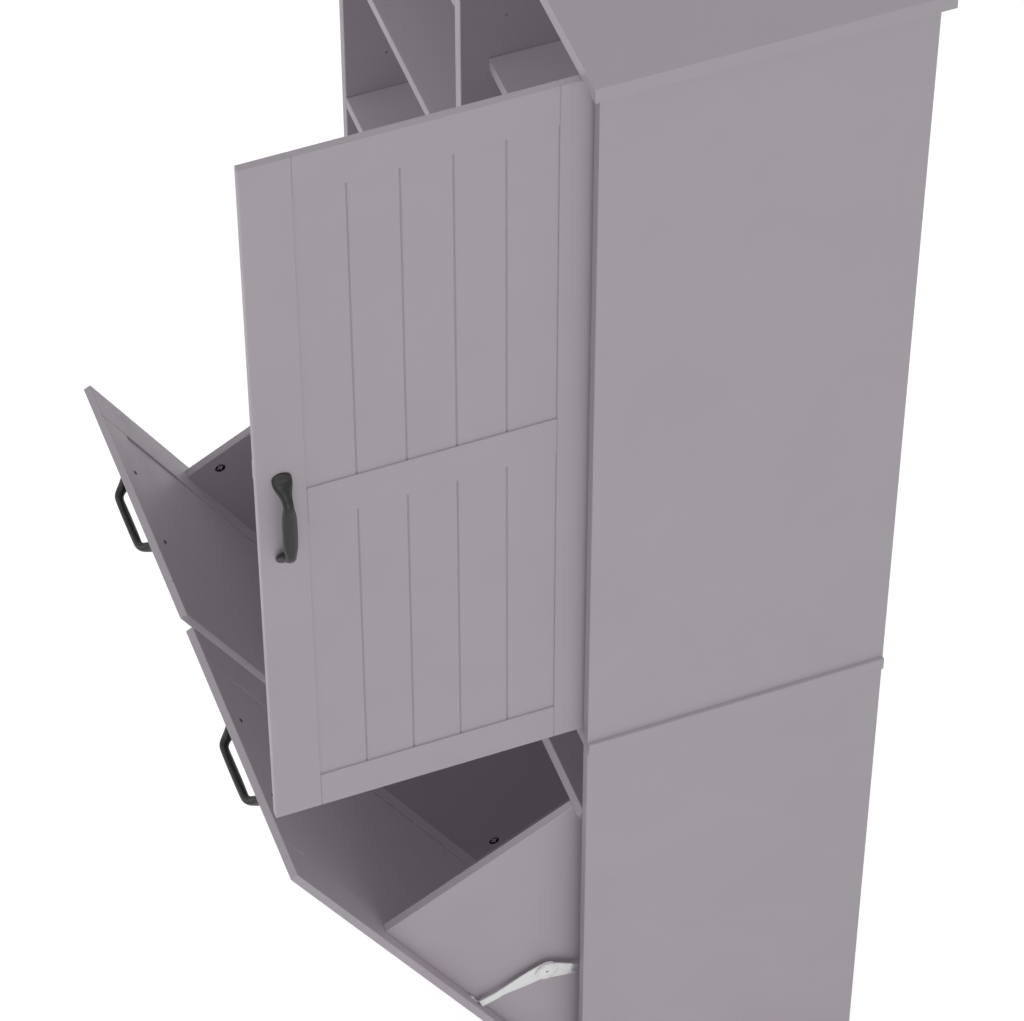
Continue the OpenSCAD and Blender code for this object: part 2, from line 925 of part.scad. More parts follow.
// The hook on the inner face of a front: a plate between the bin wall and the arm, an ear and a pin
module stay_hook()
{
  y = bin_y;
  z = pivot_z + hook_up;
  plate_x = wall_x + pass_gap;
  ear_x = arm_x - pass_gap - hook_ear_t;
  ear_reach = hook_in + stay_pin_r + hook_ear_t - front_t;
  translate([plate_x, y, z - tip_r]) cube([ear_x + hook_ear_t - plate_x, hook_plate_t, hook_plate_h]);
  translate([ear_x, y, z - tip_r]) cube([hook_ear_t, ear_reach, 2 * tip_r]);
  translate([ear_x + (hook_ear_t + pass_gap + arm_t) / 2, front_y + hook_in, z])
    rod_x(stay_pin_r, hook_ear_t + pass_gap + arm_t);
}

module stay_hooks(side)
{
  color(zinc) tilted() both_sides(side) stay_hook();
}

// The bracket of the rear arm on the side panel or the divider
module stay_bracket()
{
  face_x = bay_w / 2;
  pin_l = face_x - anchor_plate_t - rear_arm_x;
  at_stay(anchor, face_x - anchor_plate_t - pin_l / 2) rod_x(stay_pin_r, pin_l);
  at_stay(anchor, face_x - anchor_plate_t)
    translate([0, -anchor_plate_w / 2, -anchor_plate_h / 2]) cube([anchor_plate_t, anchor_plate_w, anchor_plate_h]);
}

module stay_side_brackets()
{
  color(zinc) for (side = [-1, 1]) both_sides(side) stay_bracket();
}

top_board();
mid_board();
bottom_board();
plinth();
centre_support();
upper_side_left();
upper_side_right();
lower_side(-1);  // lower_side_left
lower_side(1);  // lower_side_right
upper_divider();
lower_divider();
upper_back();
lower_back();
shelf(-1, left_shelves[0], 0);  // shelf_left_low
shelf(-1, left_shelves[1], 0);  // shelf_left_middle
shelf(-1, left_shelves[2], 0);  // shelf_left_high
shelf(1, right_shelves[0], shelf_setback);  // shelf_right_low
shelf(1, right_shelves[1], shelf_setback);  // shelf_right_high
shelf_pins();
wall_rail();
door_hinge_arms();
door_hinge_plates();
door_catch();
hamper_hinge_bases();
stay_side_brackets();
door_stile_hinge();
door_stile_free();
door_rail(door_z + door_h - frame_w, false, true);  // door_rail_top
door_rail(door_mid_z, true, true);  // door_rail_middle
door_rail(door_z, true, false);  // door_rail_bottom
door_panel(door_mid_z + frame_w);  // door_panel_upper
door_panel(door_z + frame_w);  // door_panel_lower
door_handle();
door_handle_screws();
door_hinge_cups();
door_strike();
front_stiles(-1);  // left_front_stiles
front_rails(-1);  // left_front_rails
front_panel(-1);  // left_front_panel
bin_walls(-1);  // left_bin_walls
bin_back(-1);  // left_bin_back
bin_floor(-1);  // left_bin_floor
hamper_handle(-1);  // left_handle
fasteners(-1);  // left_fasteners
hinge_leaves(-1);  // left_hinge_leaves
stay_hooks(-1);  // left_stay_hooks
stay_front_arms(-1);  // left_stay_front_arms
stay_rear_arms(-1);  // left_stay_rear_arms
front_stiles(1);  // right_front_stiles
front_rails(1);  // right_front_rails
front_panel(1);  // right_front_panel
bin_walls(1);  // right_bin_walls
bin_back(1);  // right_bin_back
bin_floor(1);  // right_bin_floor
hamper_handle(1);  // right_handle
fasteners(1);  // right_fasteners
hinge_leaves(1);  // right_hinge_leaves
stay_hooks(1);  // right_stay_hooks
stay_front_arms(1);  // right_stay_front_arms
stay_rear_arms(1);  // right_stay_rear_arms
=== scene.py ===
"""Looks of a tall bathroom laundry cabinet, built round its fixed frame.

Each sub-assembly is a class: its sizes are fields, and its methods build the pieces and dress them. Pieces that
tilt or swing are drawn as they stand when the cabinet is closed, and are then turned to where they rest.
"""

import json
import logging
import math
from contextlib import contextmanager
from dataclasses import dataclass
from enum import Enum
from typing import Iterable, Iterator, Sequence, TypeVar

import bmesh
import bpy
from mathutils import Matrix, Vector


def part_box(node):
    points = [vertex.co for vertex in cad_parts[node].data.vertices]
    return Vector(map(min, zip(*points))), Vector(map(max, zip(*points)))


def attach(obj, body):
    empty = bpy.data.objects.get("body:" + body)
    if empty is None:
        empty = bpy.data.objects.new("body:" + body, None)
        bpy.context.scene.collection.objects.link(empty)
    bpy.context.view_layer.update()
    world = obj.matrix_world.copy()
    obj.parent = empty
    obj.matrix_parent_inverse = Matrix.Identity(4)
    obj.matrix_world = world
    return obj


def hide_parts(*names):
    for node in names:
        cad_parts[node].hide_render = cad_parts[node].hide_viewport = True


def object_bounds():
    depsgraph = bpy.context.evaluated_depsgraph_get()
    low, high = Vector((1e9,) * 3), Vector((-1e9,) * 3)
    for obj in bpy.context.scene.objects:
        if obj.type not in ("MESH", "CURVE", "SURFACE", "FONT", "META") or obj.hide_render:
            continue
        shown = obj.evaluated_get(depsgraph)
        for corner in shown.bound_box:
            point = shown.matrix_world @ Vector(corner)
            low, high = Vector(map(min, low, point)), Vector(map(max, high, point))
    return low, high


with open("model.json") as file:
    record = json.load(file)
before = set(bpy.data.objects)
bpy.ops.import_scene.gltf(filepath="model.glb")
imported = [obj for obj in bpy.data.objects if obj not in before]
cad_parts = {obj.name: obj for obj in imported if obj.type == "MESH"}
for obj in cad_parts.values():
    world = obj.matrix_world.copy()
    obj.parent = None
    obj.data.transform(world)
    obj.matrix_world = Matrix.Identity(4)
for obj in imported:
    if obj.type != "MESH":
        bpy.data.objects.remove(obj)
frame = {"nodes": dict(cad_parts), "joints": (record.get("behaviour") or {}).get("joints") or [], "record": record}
CAD_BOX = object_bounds()

MM = 0.001
MIX_FIRST, MIX_SECOND, MIX_RESULT = 6, 7, 2
CREASE = math.radians(32.0)
ENDS = (-1, 1)
X, Y, Z, FRONT, DOWN = (1, 0, 0), (0, 1, 0), (0, 0, 1), (0, -1, 0), (0, 0, -1)
log = logging.getLogger("cabinet")

Color = tuple[float, float, float, float]
Point = tuple[float, float, float]
Pair = tuple[float, float]
Profile = Sequence[Pair]
Corners = Sequence[tuple[float, float, float]]
Mesh = bmesh.types.BMesh
Socket = bpy.types.NodeSocket
Element = TypeVar("Element", bmesh.types.BMVert, bmesh.types.BMEdge, bmesh.types.BMFace)


class Slot(Enum):
    """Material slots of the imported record."""

    BOARD = "painted_board"
    BACK = "back_panel"
    BLACK = "black_metal"
    DARK = "dark_fitting"
    ZINC = "zinc_steel"
    HINGE = "hinge_steel"
    STAY = "stay_steel"
    CATCH = "catch_plastic"


class Side(Enum):
    """Left or right, with the sign of X on each: of the two hampers, and of the two stays of a hamper."""

    LEFT = -1
    RIGHT = 1

    @property
    def word(self) -> str:
        """The side's word in the names of nodes, bodies and pieces."""
        return self.name.lower()


def srgb(red: float, green: float, blue: float) -> Color:
    """Gives the linear colour of a colour written in screen levels.

    Args:
        red: Red level, 0 to 255.
        green: Green level, 0 to 255.
        blue: Blue level, 0 to 255.

    Returns:
        The linear colour with full alpha.
    """
    levels = [c / 255 for c in (red, green, blue)]
    linear = [c / 12.92 if c <= 0.04045 else ((c + 0.055) / 1.055) ** 2.4 for c in levels]
    return (*linear, 1.0)


def shaded(color: Color, factor: float) -> Color:
    """Gives a linear colour made lighter or darker by a factor."""
    return (*(min(c * factor, 1.0) for c in color[:3]), 1.0)


class Graph:
    """A material with short calls that add and join its nodes."""

    def __init__(self, name: str) -> None:
        """Starts a material.

        Args:
            name: Name of the material.
        """
        self.material = bpy.data.materials.new(name)
        self.material.use_nodes = True
        self.nodes = self.material.node_tree.nodes
        self.links = self.material.node_tree.links
        self.shader = self.nodes["Principled BSDF"]
        self.place = self.nodes.new("ShaderNodeTexCoord").outputs["Object"]

    def put(self, socket: Socket, value: object) -> None:
        """Links a socket to another one, or sets its value.

        Args:
            socket: Input socket.
            value: Output socket, number or colour.
        """
        if isinstance(value, Socket):
            self.links.new(value, socket)
        else:
            socket.default_value = value

    def node(self, kind: str, inputs: dict[str | int, object]) -> bpy.types.Node:
        """Adds a node.

        Args:
            kind: Its type, without the first part that all types share.
            inputs: Value or output socket for each of its inputs.

        Returns:
            The node.
        """
        node = self.nodes.new(f"ShaderNode{kind}")
        for key, value in inputs.items():
            self.put(node.inputs[key], value)
        return node

    def noise(
        self, scale: float, detail: float = 2.0, stretch: Point = (1.0, 1.0, 1.0), twist: float = 0.0
    ) -> Socket:
        """Adds a noise pattern on the object's own coordinates.

        Args:
            scale: Waves in a metre.
            detail: Octaves of finer noise.
            stretch: Scale along each axis before the noise.
            twist: Distortion of the pattern.

        Returns:
            The pattern, from 0 to 1.
        """
        spread = self.node("Mapping", {"Vector": self.place, "Scale": stretch}).outputs["Vector"]
        waves = {"Vector": spread, "Scale": scale, "Detail": detail, "Distortion": twist}
        return self.node("TexNoise", waves).outputs["Fac"]

    def cells(self, scale: float) -> Socket:
        """Adds a random grey level for each of so many crystal-like cells in a metre."""
        cells = self.node("TexVoronoi", {"Vector": self.place, "Scale": scale})
        return self.node("RGBToBW", {"Color": cells.outputs["Color"]}).outputs["Val"]

    def ranged(self, value: Socket, low: float, high: float, out_low: float, out_high: float) -> Socket:
        """Maps a value from one range to another and clamps it.

        Args:
            value: The value.
            low: Low end of its range.
            high: High end of its range.
            out_low: What the low end becomes.
            out_high: What the high end becomes.

        Returns:
            The mapped value.
        """
        ends = {"From Min": low, "From Max": high, "To Min": out_low, "To Max": out_high}
        return self.node("MapRange", {"Value": value, **ends}).outputs["Result"]

    def blend(self, factor: Socket, first: object, second: object) -> Socket:
        """Mixes two colours.

        Args:
            factor: 0 gives the first colour and 1 the second.
            first: Colour or socket.
            second: Colour or socket.

        Returns:
            The mixed colour.
        """
        node = self.nodes.new("ShaderNodeMix")
        node.data_type = "RGBA"
        for key, value in (("Factor", factor), (MIX_FIRST, first), (MIX_SECOND, second)):
            self.put(node.inputs[key], value)
        return node.outputs[MIX_RESULT]

    def times(self, first: Socket, second: Socket) -> Socket:
        """Multiplies two values.

        Args:
            first: A value.
            second: Another value.

        Returns:
            Their product.
        """
        node = self.node("Math", {0: first, 1: second})
        node.operation = "MULTIPLY"
        return node.outputs["Value"]

    def edges(self, width: float) -> Socket:
        """Finds the edges of a piece.

        Args:
            width: Width of the band along an edge, in metres.

        Returns:
            A mask: 1 on an edge and 0 on a flat face.
        """
        bevel = self.node("Bevel", {"Radius": width})
        bevel.samples = 4
        flat = self.nodes.new("ShaderNodeNewGeometry").outputs["Normal"]
        dot = self.node("VectorMath", {0: bevel.outputs["Normal"], 1: flat})
        dot.operation = "DOT_PRODUCT"
        return self.ranged(dot.outputs["Value"], 0.99, 0.75, 0.0, 1.0)

    def bump(self, height: Socket, depth: float, under: Socket | None = None) -> Socket:
        """Adds a bump.

        Args:
            height: Height pattern, from 0 to 1.
            depth: Height that 1 stands for, in metres.
            under: Normal of the bump below, if any.

        Returns:
            The bumped normal.
        """
        node = self.node("Bump", {"Distance": depth, "Height": height})
        if under is not None:
            self.links.new(under, node.inputs["Normal"])
        return node.outputs["Normal"]

    def done(self, color: object, roughness: object, normal: object, **constants: float) -> bpy.types.Material:
        """Joins everything to the shader.

        Args:
            color: Base colour.
            roughness: Roughness.
            normal: Normal.
            **constants: Values set on the shader's own sockets, with _ for a space in the name.

        Returns:
            The finished material.
        """
        sockets = {"Base Color": color, "Roughness": roughness, "Normal": normal}
        sockets |= {name.replace("_", " "): value for name, value in constants.items()}
        for name, value in sockets.items():
            self.put(self.shader.inputs[name], value)
        return self.material


@dataclass(frozen=True)
class Paint:
    """Satin paint sprayed on board: a fine orange peel, faint clouds and rose patches, and lighter edges: rubbed wear
    and painted highlight.
    """

    name: str
    color: Color
    rose: Color
    fibre_depth: float = 0.0
    smooth: float = 0.42
    rough: float = 0.56

    def build(self) -> bpy.types.Material:
        """Makes the material."""
        g = Graph(self.name)
        tone = g.blend(g.noise(2.3, 4.0, twist=0.4), shaded(self.color, 0.975), shaded(self.color, 1.025))
        tone = g.blend(g.ranged(g.noise(4.1, 3.0, twist=0.6), 0.48, 0.70, 0.0, 0.55), tone, self.rose)
        speck = g.ranged(g.noise(170.0, 3.0), 0.66, 0.74, 0.0, 0.18)
        tone = g.blend(speck, tone, shaded(self.color, 0.86))
        # Edges painted lighter: partly rubbed wear, partly a painted highlight along the edges.
        worn_and_highlit_edges = g.times(g.edges(1.1 * MM), g.ranged(g.noise(38.0, 3.0), 0.35, 0.7, 0.08, 0.5))
        tone = g.blend(worn_and_highlit_edges, tone, shaded(self.color, 1.08))
        rough = g.ranged(g.noise(7.0, 5.0, twist=0.8), 0.3, 0.7, self.smooth, self.rough)
        normal = g.bump(g.noise(420.0), 0.05 * MM)
        if self.fibre_depth:
            normal = g.bump(g.noise(260.0, 4.0, stretch=(0.12, 1.0, 1.0)), self.fibre_depth, normal)
        normal = g.bump(g.noise(34.0), 0.06 * MM, normal)
        return g.done(tone, rough, normal)


@dataclass(frozen=True)
class PowderCoat:
    """A fine powder coat on cast metal, rubbed a little lighter on its edges."""

    name: str
    color: Color
    rubbed: Color
    gloss: float = 0.35

    def build(self) -> bpy.types.Material:
        """Makes the material."""
        g = Graph(self.name)
        tone = g.blend(g.noise(45.0, 4.0), shaded(self.color, 0.85), shaded(self.color, 1.2))
        rub = g.times(g.edges(1.2 * MM), g.ranged(g.noise(120.0, 3.0), 0.45, 0.75, 0.0, 0.7))
        tone = g.blend(rub, tone, self.rubbed)
        rough = g.ranged(g.noise(90.0, 3.0), 0.3, 0.7, 0.28, 0.42)
        return g.done(tone, rough, g.bump(g.noise(1500.0, 3.0), 0.05 * MM), Specular_IOR_Level=self.gloss)


@dataclass(frozen=True)
class Plating:
    """Plated steel with a faint spangle and drawn scratches."""

    name: str
    color: Color
    smooth: float = 0.26
    rough: float = 0.42
    metallic: float = 1.0

    def build(self) -> bpy.types.Material:
        """Makes the material."""
        g = Graph(self.name)
        tone = g.blend(g.cells(240.0), shaded(self.color, 0.9), shaded(self.color, 1.08))
        grime = g.ranged(g.noise(60.0, 4.0, twist=0.6), 0.55, 0.8, 0.0, 0.5)
        tone = g.blend(grime, tone, shaded(self.color, 0.62))
        rough = g.ranged(g.noise(150.0, 4.0), 0.3, 0.7, self.smooth, self.rough)
        normal = g.bump(g.noise(900.0, 3.0, stretch=(1.0, 0.08, 1.0)), 0.03 * MM)
        return g.done(tone, rough, normal, Metallic=self.metallic)


@dataclass(frozen=True)
class BakedCoat:
    """A pale baked coat, on pressed steel or as moulded plastic, that shows another tone at its rubbed edges."""

    name: str
    color: Color
    rubbed: Color
    grain: float = 1100.0
    smooth: float = 0.36
    rough: float = 0.50

    def build(self) -> bpy.types.Material:
        """Makes the material."""
        g = Graph(self.name)
        tone = g.blend(g.noise(55.0, 3.0), shaded(self.color, 0.94), shaded(self.color, 1.03))
        rub = g.times(g.edges(0.5 * MM), g.ranged(g.noise(260.0, 3.0), 0.5, 0.7, 0.0, 0.8))
        tone = g.blend(rub, tone, self.rubbed)
        rough = g.ranged(g.noise(110.0, 3.0), 0.3, 0.7, self.smooth, self.rough)
        return g.done(tone, rough, g.bump(g.noise(self.grain), 0.04 * MM))


FINISHES = {
    Slot.BOARD: Paint("mauve_grey_paint", srgb(157, 150, 158), srgb(159, 148, 158)),
    Slot.BACK: Paint(
        "back_panel_paint", srgb(151, 144, 152), srgb(153, 142, 151), fibre_depth=0.08 * MM, smooth=0.5, rough=0.66
    ),
    Slot.BLACK: PowderCoat("charcoal_powder_coat", srgb(18, 17, 17), srgb(58, 57, 57)),
    Slot.DARK: Plating("dark_zinc", srgb(62, 62, 64), smooth=0.3, rough=0.5),
    Slot.ZINC: Plating("zinc_plate", srgb(190, 190, 193), metallic=0.65),
    Slot.HINGE: Plating("nickel_plate", srgb(206, 205, 202), smooth=0.18, rough=0.32),
    Slot.STAY: BakedCoat("pale_coated_steel", srgb(222, 222, 222), srgb(165, 165, 166)),
    Slot.CATCH: BakedCoat("catch_plastic", srgb(212, 212, 210), srgb(200, 200, 198), grain=1700.0, smooth=0.42),
}


def joint_of(name: str) -> dict:
    """Gives the record of a joint."""
    return next(j for j in frame["joints"] if j["name"] == name)


def pivot_of(joint_name: str) -> Vector:
    """Gives a joint's place at rest, in metres."""
    return Vector(joint_of(joint_name)["pos_m"])


def closed_to_rest(joint_name: str) -> Matrix:
    """Gives the turn that takes a closed piece to where it rests.

    Args:
        joint_name: Joint whose low limit is the closed state.

    Returns:
        The turn about the joint's axis.
    """
    joint = joint_of(joint_name)
    at = Matrix.Translation(Vector(joint["pos_m"]))
    return at @ Matrix.Rotation(math.radians(-joint["range_deg"][0]), 4, Vector(joint["axis"])) @ at.inverted()


def frame_at(origin: Point | Vector, x_axis: Point, z_axis: Point) -> Matrix:
    """Gives the matrix of a local frame.

    Args:
        origin: Where its origin lies.
        x_axis: Direction of its X axis.
        z_axis: Direction of its Z axis.

    Returns:
        The matrix from local to world.
    """
    x, z = Vector(x_axis).normalized(), Vector(z_axis).normalized()
    return Matrix.Translation(Vector(origin)) @ Matrix((x, z.cross(x), z)).transposed().to_4x4()


def shifted(place: Matrix, x: float, y: float, z: float) -> Matrix:
    """Moves a local frame along its own axes."""
    return place @ Matrix.Translation((x, y, z))


def once(elements: Iterable[Element]) -> list[Element]:
    """Each element once, in the order in which they come; the order of a set would vary from run to run."""
    return list(dict.fromkeys(elements))


def cross_corners(reach: float, half: float) -> list[Pair]:
    """Lists the corners of a cross.

    Args:
        reach: Length of each arm from the middle.
        half: Half the width of an arm.

    Returns:
        X and Y of its twelve corners.
    """
    arm = ((reach, -half), (reach, half), (half, half))
    quarters = ((1, 0), (0, 1), (-1, 0), (0, -1))
    return [(c * x - s * y, s * x + c * y) for c, s in quarters for x, y in arm]


class Blank:
    """A mesh in the making: each shape is added in a local frame and then set in its place."""

    def __init__(self, bm: Mesh | None = None) -> None:
        """Starts from nothing, or from a mesh."""
        self.bm = bmesh.new() if bm is None else bm

    @contextmanager
    def shape(self, place: Matrix) -> Iterator[set[bmesh.types.BMVert]]:
        """Finishes the shape made inside it: merges its doubles, turns its faces outwards and moves it.

        Args:
            place: From local to world.

        Yields:
            Vertices that were there before the shape.
        """
        before = set(self.bm.verts)
        yield before
        bmesh.ops.remove_doubles(self.bm, verts=[v for v in self.bm.verts if v not in before], dist=0.001 * MM)
        verts = [v for v in self.bm.verts if v not in before]
        bmesh.ops.recalc_face_normals(self.bm, faces=once(f for v in verts for f in v.link_faces))
        bmesh.ops.transform(self.bm, matrix=place, verts=verts)

    def spun(self, profile: Profile, steps: int) -> None:
        """Spins a profile about Z.

        Args:
            profile: Radius and height of each point.
            steps: Faces round the axis.
        """
        points = [self.bm.verts.new((r, 0.0, z)) for r, z in profile]
        edges = [self.bm.edges.new(pair) for pair in zip(points, points[1:])]
        bmesh.ops.spin(
            self.bm, geom=points + edges, cent=(0, 0, 0), axis=Z, dvec=(0, 0, 0), angle=math.tau,
            space=Matrix.Identity(4), steps=steps, use_merge=True, use_normal_flip=False, use_duplicate=False,
        )

    def turned(self, profile: Profile, place: Matrix, steps: int = 32) -> None:
        """Adds a turned shape.

        Args:
            profile: Radius and height of each point, from the axis to the axis or round a bore.
            place: From local to world; the shape turns about Z.
            steps: Faces round the axis.
        """
        with self.shape(place):
            self.spun(profile, steps)

    def crossed(self, profile: Profile, place: Matrix, reach: float, width: float, depth: float) -> None:
        """Adds a turned head whose flat top has a crossed recess.

        Args:
            profile: Radius and height of each point, from the axis to the rim of the flat top.
            place: From local to world; the head turns about Z.
            reach: Length of each arm of the cross from the middle.
            width: Width of each arm.
            depth: Depth of the recess.
        """
        steps = 24
        radius, top = profile[-1]
        with self.shape(place):
            self.spun(profile, steps)
            at = Matrix.Translation((0, 0, top))
            ring = bmesh.ops.create_circle(self.bm, radius=radius, segments=steps, matrix=at)
            rim = once(e for v in ring["verts"] for e in v.link_edges)
            outline = [self.bm.verts.new((x, y, top)) for x, y in cross_corners(reach, width / 2)]
            loop = [self.bm.edges.new(pair) for pair in zip(outline, outline[1:] + outline[:1])]
            bmesh.ops.bridge_loops(self.bm, edges=rim + loop)
            low = self.raised([self.bm.faces.new(outline)], -depth)
            bmesh.ops.scale(self.bm, verts=low, vec=(0.72, 0.72, 1.0))

    def raised(self, faces: list[bmesh.types.BMFace], height: float) -> list[bmesh.types.BMVert]:
        """Extrudes faces along Z.

        Args:
            faces: The faces.
            height: How far they move.

        Returns:
            Their new vertices.
        """
        out = bmesh.ops.extrude_face_region(self.bm, geom=faces)
        verts = [g for g in out["geom"] if isinstance(g, bmesh.types.BMVert)]
        bmesh.ops.translate(self.bm, verts=verts, vec=(0, 0, height))
        return verts

    def screw_head(self, r: float, h: float, place: Matrix) -> None:
        """Adds a domed screw head with a crossed recess, standing on z = 0.

        Args:
            r: Radius of the head.
            h: Height of the head.
            place: From local to world.
        """
        foot = -0.3 * MM
        profile = [(0.0, foot), (r, foot), (r, 0.35 * h), (0.94 * r, 0.68 * h), (0.82 * r, 0.9 * h), (0.7 * r, h)]
        self.crossed(profile, place, 0.6 * r, 0.26 * r, 0.55 * h)

    def flush_screw(self, r: float, place: Matrix) -> None:
        """Adds a countersunk screw that stands a fifth of a millimetre proud of z = 0.

        Args:
            r: Radius of the head.
            place: From local to world.
        """
        proud, foot = 0.2 * MM, -1.2 * MM
        profile = [(0.0, foot), (0.5 * r, foot), (r, 0.0), (0.93 * r, proud), (0.75 * r, proud)]
        self.crossed(profile, place, 0.62 * r, 0.26 * r, 0.9 * MM)

    def plate(self, size: Point, place: Matrix, corner: float = 0.0, ease: float = 0.0) -> None:
        """Adds a flat plate on z = 0, its middle on the axis, with round corners and eased rims.

        Args:
            size: Size along X, Y and Z.
            place: From local to world.
            corner: Radius of the corners.
            ease: Radius of the rims.
        """
        w, h = size[0] / 2, size[1] / 2
        self.cut([(-w, -h, corner), (w, -h, corner), (w, h, corner), (-w, h, corner)], size[2], place, ease)

    def cut(
        self, outline: Corners, thick: float, place: Matrix, ease: float = 0.0, slot: Sequence[float] = ()
    ) -> None:
        """Adds a flat piece cut to an outline, standing on z = 0.

        Args:
            outline: X and Y of each corner, and the radius that rounds it.
            thick: Thickness.
            place: From local to world.
            ease: Radius of the rims.
            slot: Low X, high X and half width of a slot along X, if there is one.
        """
        with self.shape(place) as before:
            corners = [self.bm.verts.new((x, y, 0.0)) for x, y, _ in outline]
            faces = [self.bm.faces.new(corners)]
            if slot:
                faces = self.slotted(faces[0], *slot)
            self.raised(faces, thick)
            for vert, (_, _, radius) in zip(corners, outline):
                if radius:
                    upright = [e for e in vert.link_edges if abs(e.verts[0].co.z - e.verts[1].co.z) > thick / 2]
                    self.round_edges(upright, radius, 6)
            if ease:
                self.ease_rims([v for v in self.bm.verts if v not in before], ease)

    def slotted(self, face: bmesh.types.BMFace, low: float, high: float, half: float) -> list[bmesh.types.BMFace]:
        """Cuts a slot along X out of a flat face.

        Args:
            face: The face.
            low: Low X of the slot.
            high: High X of the slot.
            half: Half the width of the slot.

        Returns:
            The faces that are left.
        """
        kept = [face]
        for spot, normal in (((low, 0, 0), X), ((high, 0, 0), X), ((0, half, 0), Y), ((0, -half, 0), Y)):
            geom = kept + once(e for f in kept for e in f.edges) + once(v for f in kept for v in f.verts)
            out = bmesh.ops.bisect_plane(self.bm, geom=geom, plane_co=spot, plane_no=normal)
            kept = [g for g in out["geom"] if isinstance(g, bmesh.types.BMFace)]
        middles = {f: f.calc_center_median() for f in kept}
        inside = [f for f, m in middles.items() if low < m.x < high and abs(m.y) < half]
        kept = [f for f in kept if f not in inside]
        bmesh.ops.delete(self.bm, geom=inside, context="FACES_ONLY")
        return kept

    def collar(
        self, half: Pair, bore: float, thick: float, place: Matrix, squareness: float
    ) -> None:
        """Adds a flat rounded square with a round bore, standing on z = 0.

        Args:
            half: Half its size along X and Y.
            bore: Radius of the bore.
            thick: Thickness.
            place: From local to world.
            squareness: 2 for an oval, and more for a squarer outline.
        """
        with self.shape(place):
            outer, inner = (
                bmesh.ops.create_circle(self.bm, radius=radius, segments=48)["verts"] for radius in (1.0, bore)
            )
            self.square_up(outer, squareness)
            bmesh.ops.scale(self.bm, verts=outer, vec=(*half, 1.0))
            rims = once(e for v in outer + inner for e in v.link_edges)
            self.raised(bmesh.ops.bridge_loops(self.bm, edges=rims)["faces"], thick)

    @staticmethod
    def square_up(verts: Iterable[bmesh.types.BMVert], power: float) -> None:
        """Moves the points of a flat unit circle out towards a rounded square.

        Args:
            verts: The points, in the XY plane round the origin.
            power: 2 leaves the circle; more makes it squarer.
        """
        for v in verts:
            v.co *= (abs(v.co.x) ** power + abs(v.co.y) ** power) ** (-1 / power)

    def round_edges(self, edges: Iterable[bmesh.types.BMEdge], radius: float, segments: int) -> None:
        """Rounds edges.

        Args:
            edges: The edges.
            radius: Radius of the round.
            segments: Steps of the round.
        """
        bmesh.ops.bevel(
            self.bm, geom=once(edges), offset=radius, offset_type="OFFSET", segments=segments, profile=0.5,
            affect="EDGES", material=-1,
        )

    def ease_rims(self, verts: Iterable[bmesh.types.BMVert], radius: float) -> None:
        """Eases the sharp rims of a flat piece, at its top and its bottom.

        Args:
            verts: Vertices of the piece.
            radius: Radius of the easing.
        """
        edges = once(e for v in verts for e in v.link_edges if len(e.link_faces) == 2)
        self.round_edges([e for e in edges if e.calc_face_angle(0.0) > math.radians(60)], radius, 2)


class Workshop:
    """Turns finished meshes into pieces that ride on a body, and dresses the frame's own nodes."""

    def __init__(self) -> None:
        """Makes one material for each slot."""
        self.materials = {slot: finish.build() for slot, finish in FINISHES.items()}

    def place(
        self, blank: Blank, name: str, body: str, slot: Slot, *stands_for: str, turn: Matrix | None = None
    ) -> None:
        """Makes a piece of a blank, and frees its mesh.

        Args:
            blank: The blank, drawn in the frame of the closed cabinet.
            name: Name of the piece.
            body: Body that it rides on.
            slot: Slot that gives its finish.
            *stands_for: Nodes that it replaces.
            turn: Turn from closed to rest, if it moves.
        """
        if turn is not None:
            bmesh.ops.transform(blank.bm, matrix=turn, verts=blank.bm.verts)
        mesh = bpy.data.meshes.new(name)
        blank.bm.to_mesh(mesh)
        blank.bm.free()
        mesh.shade_smooth()
        mesh.set_sharp_from_angle(angle=CREASE)
        piece = bpy.data.objects.new(name, mesh)
        bpy.context.scene.collection.objects.link(piece)
        mesh.materials.append(self.materials[slot])
        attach(piece, body)
        if stands_for:
            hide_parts(*stands_for)
        log.info("%s rides on %s, %d faces", name, body, len(mesh.polygons))

    def dress_frame(self) -> None:
        """Gives every node of the frame the finish of its slot."""
        for row in frame["record"]["subparts"]:
            node = frame["nodes"][row["node"]]
            finish = self.materials[Slot(row["material_slot"])]
            node.data.materials.clear()
            node.data.materials.append(finish)
            log.info("node %s is dressed in %s", row["node"], finish.name)


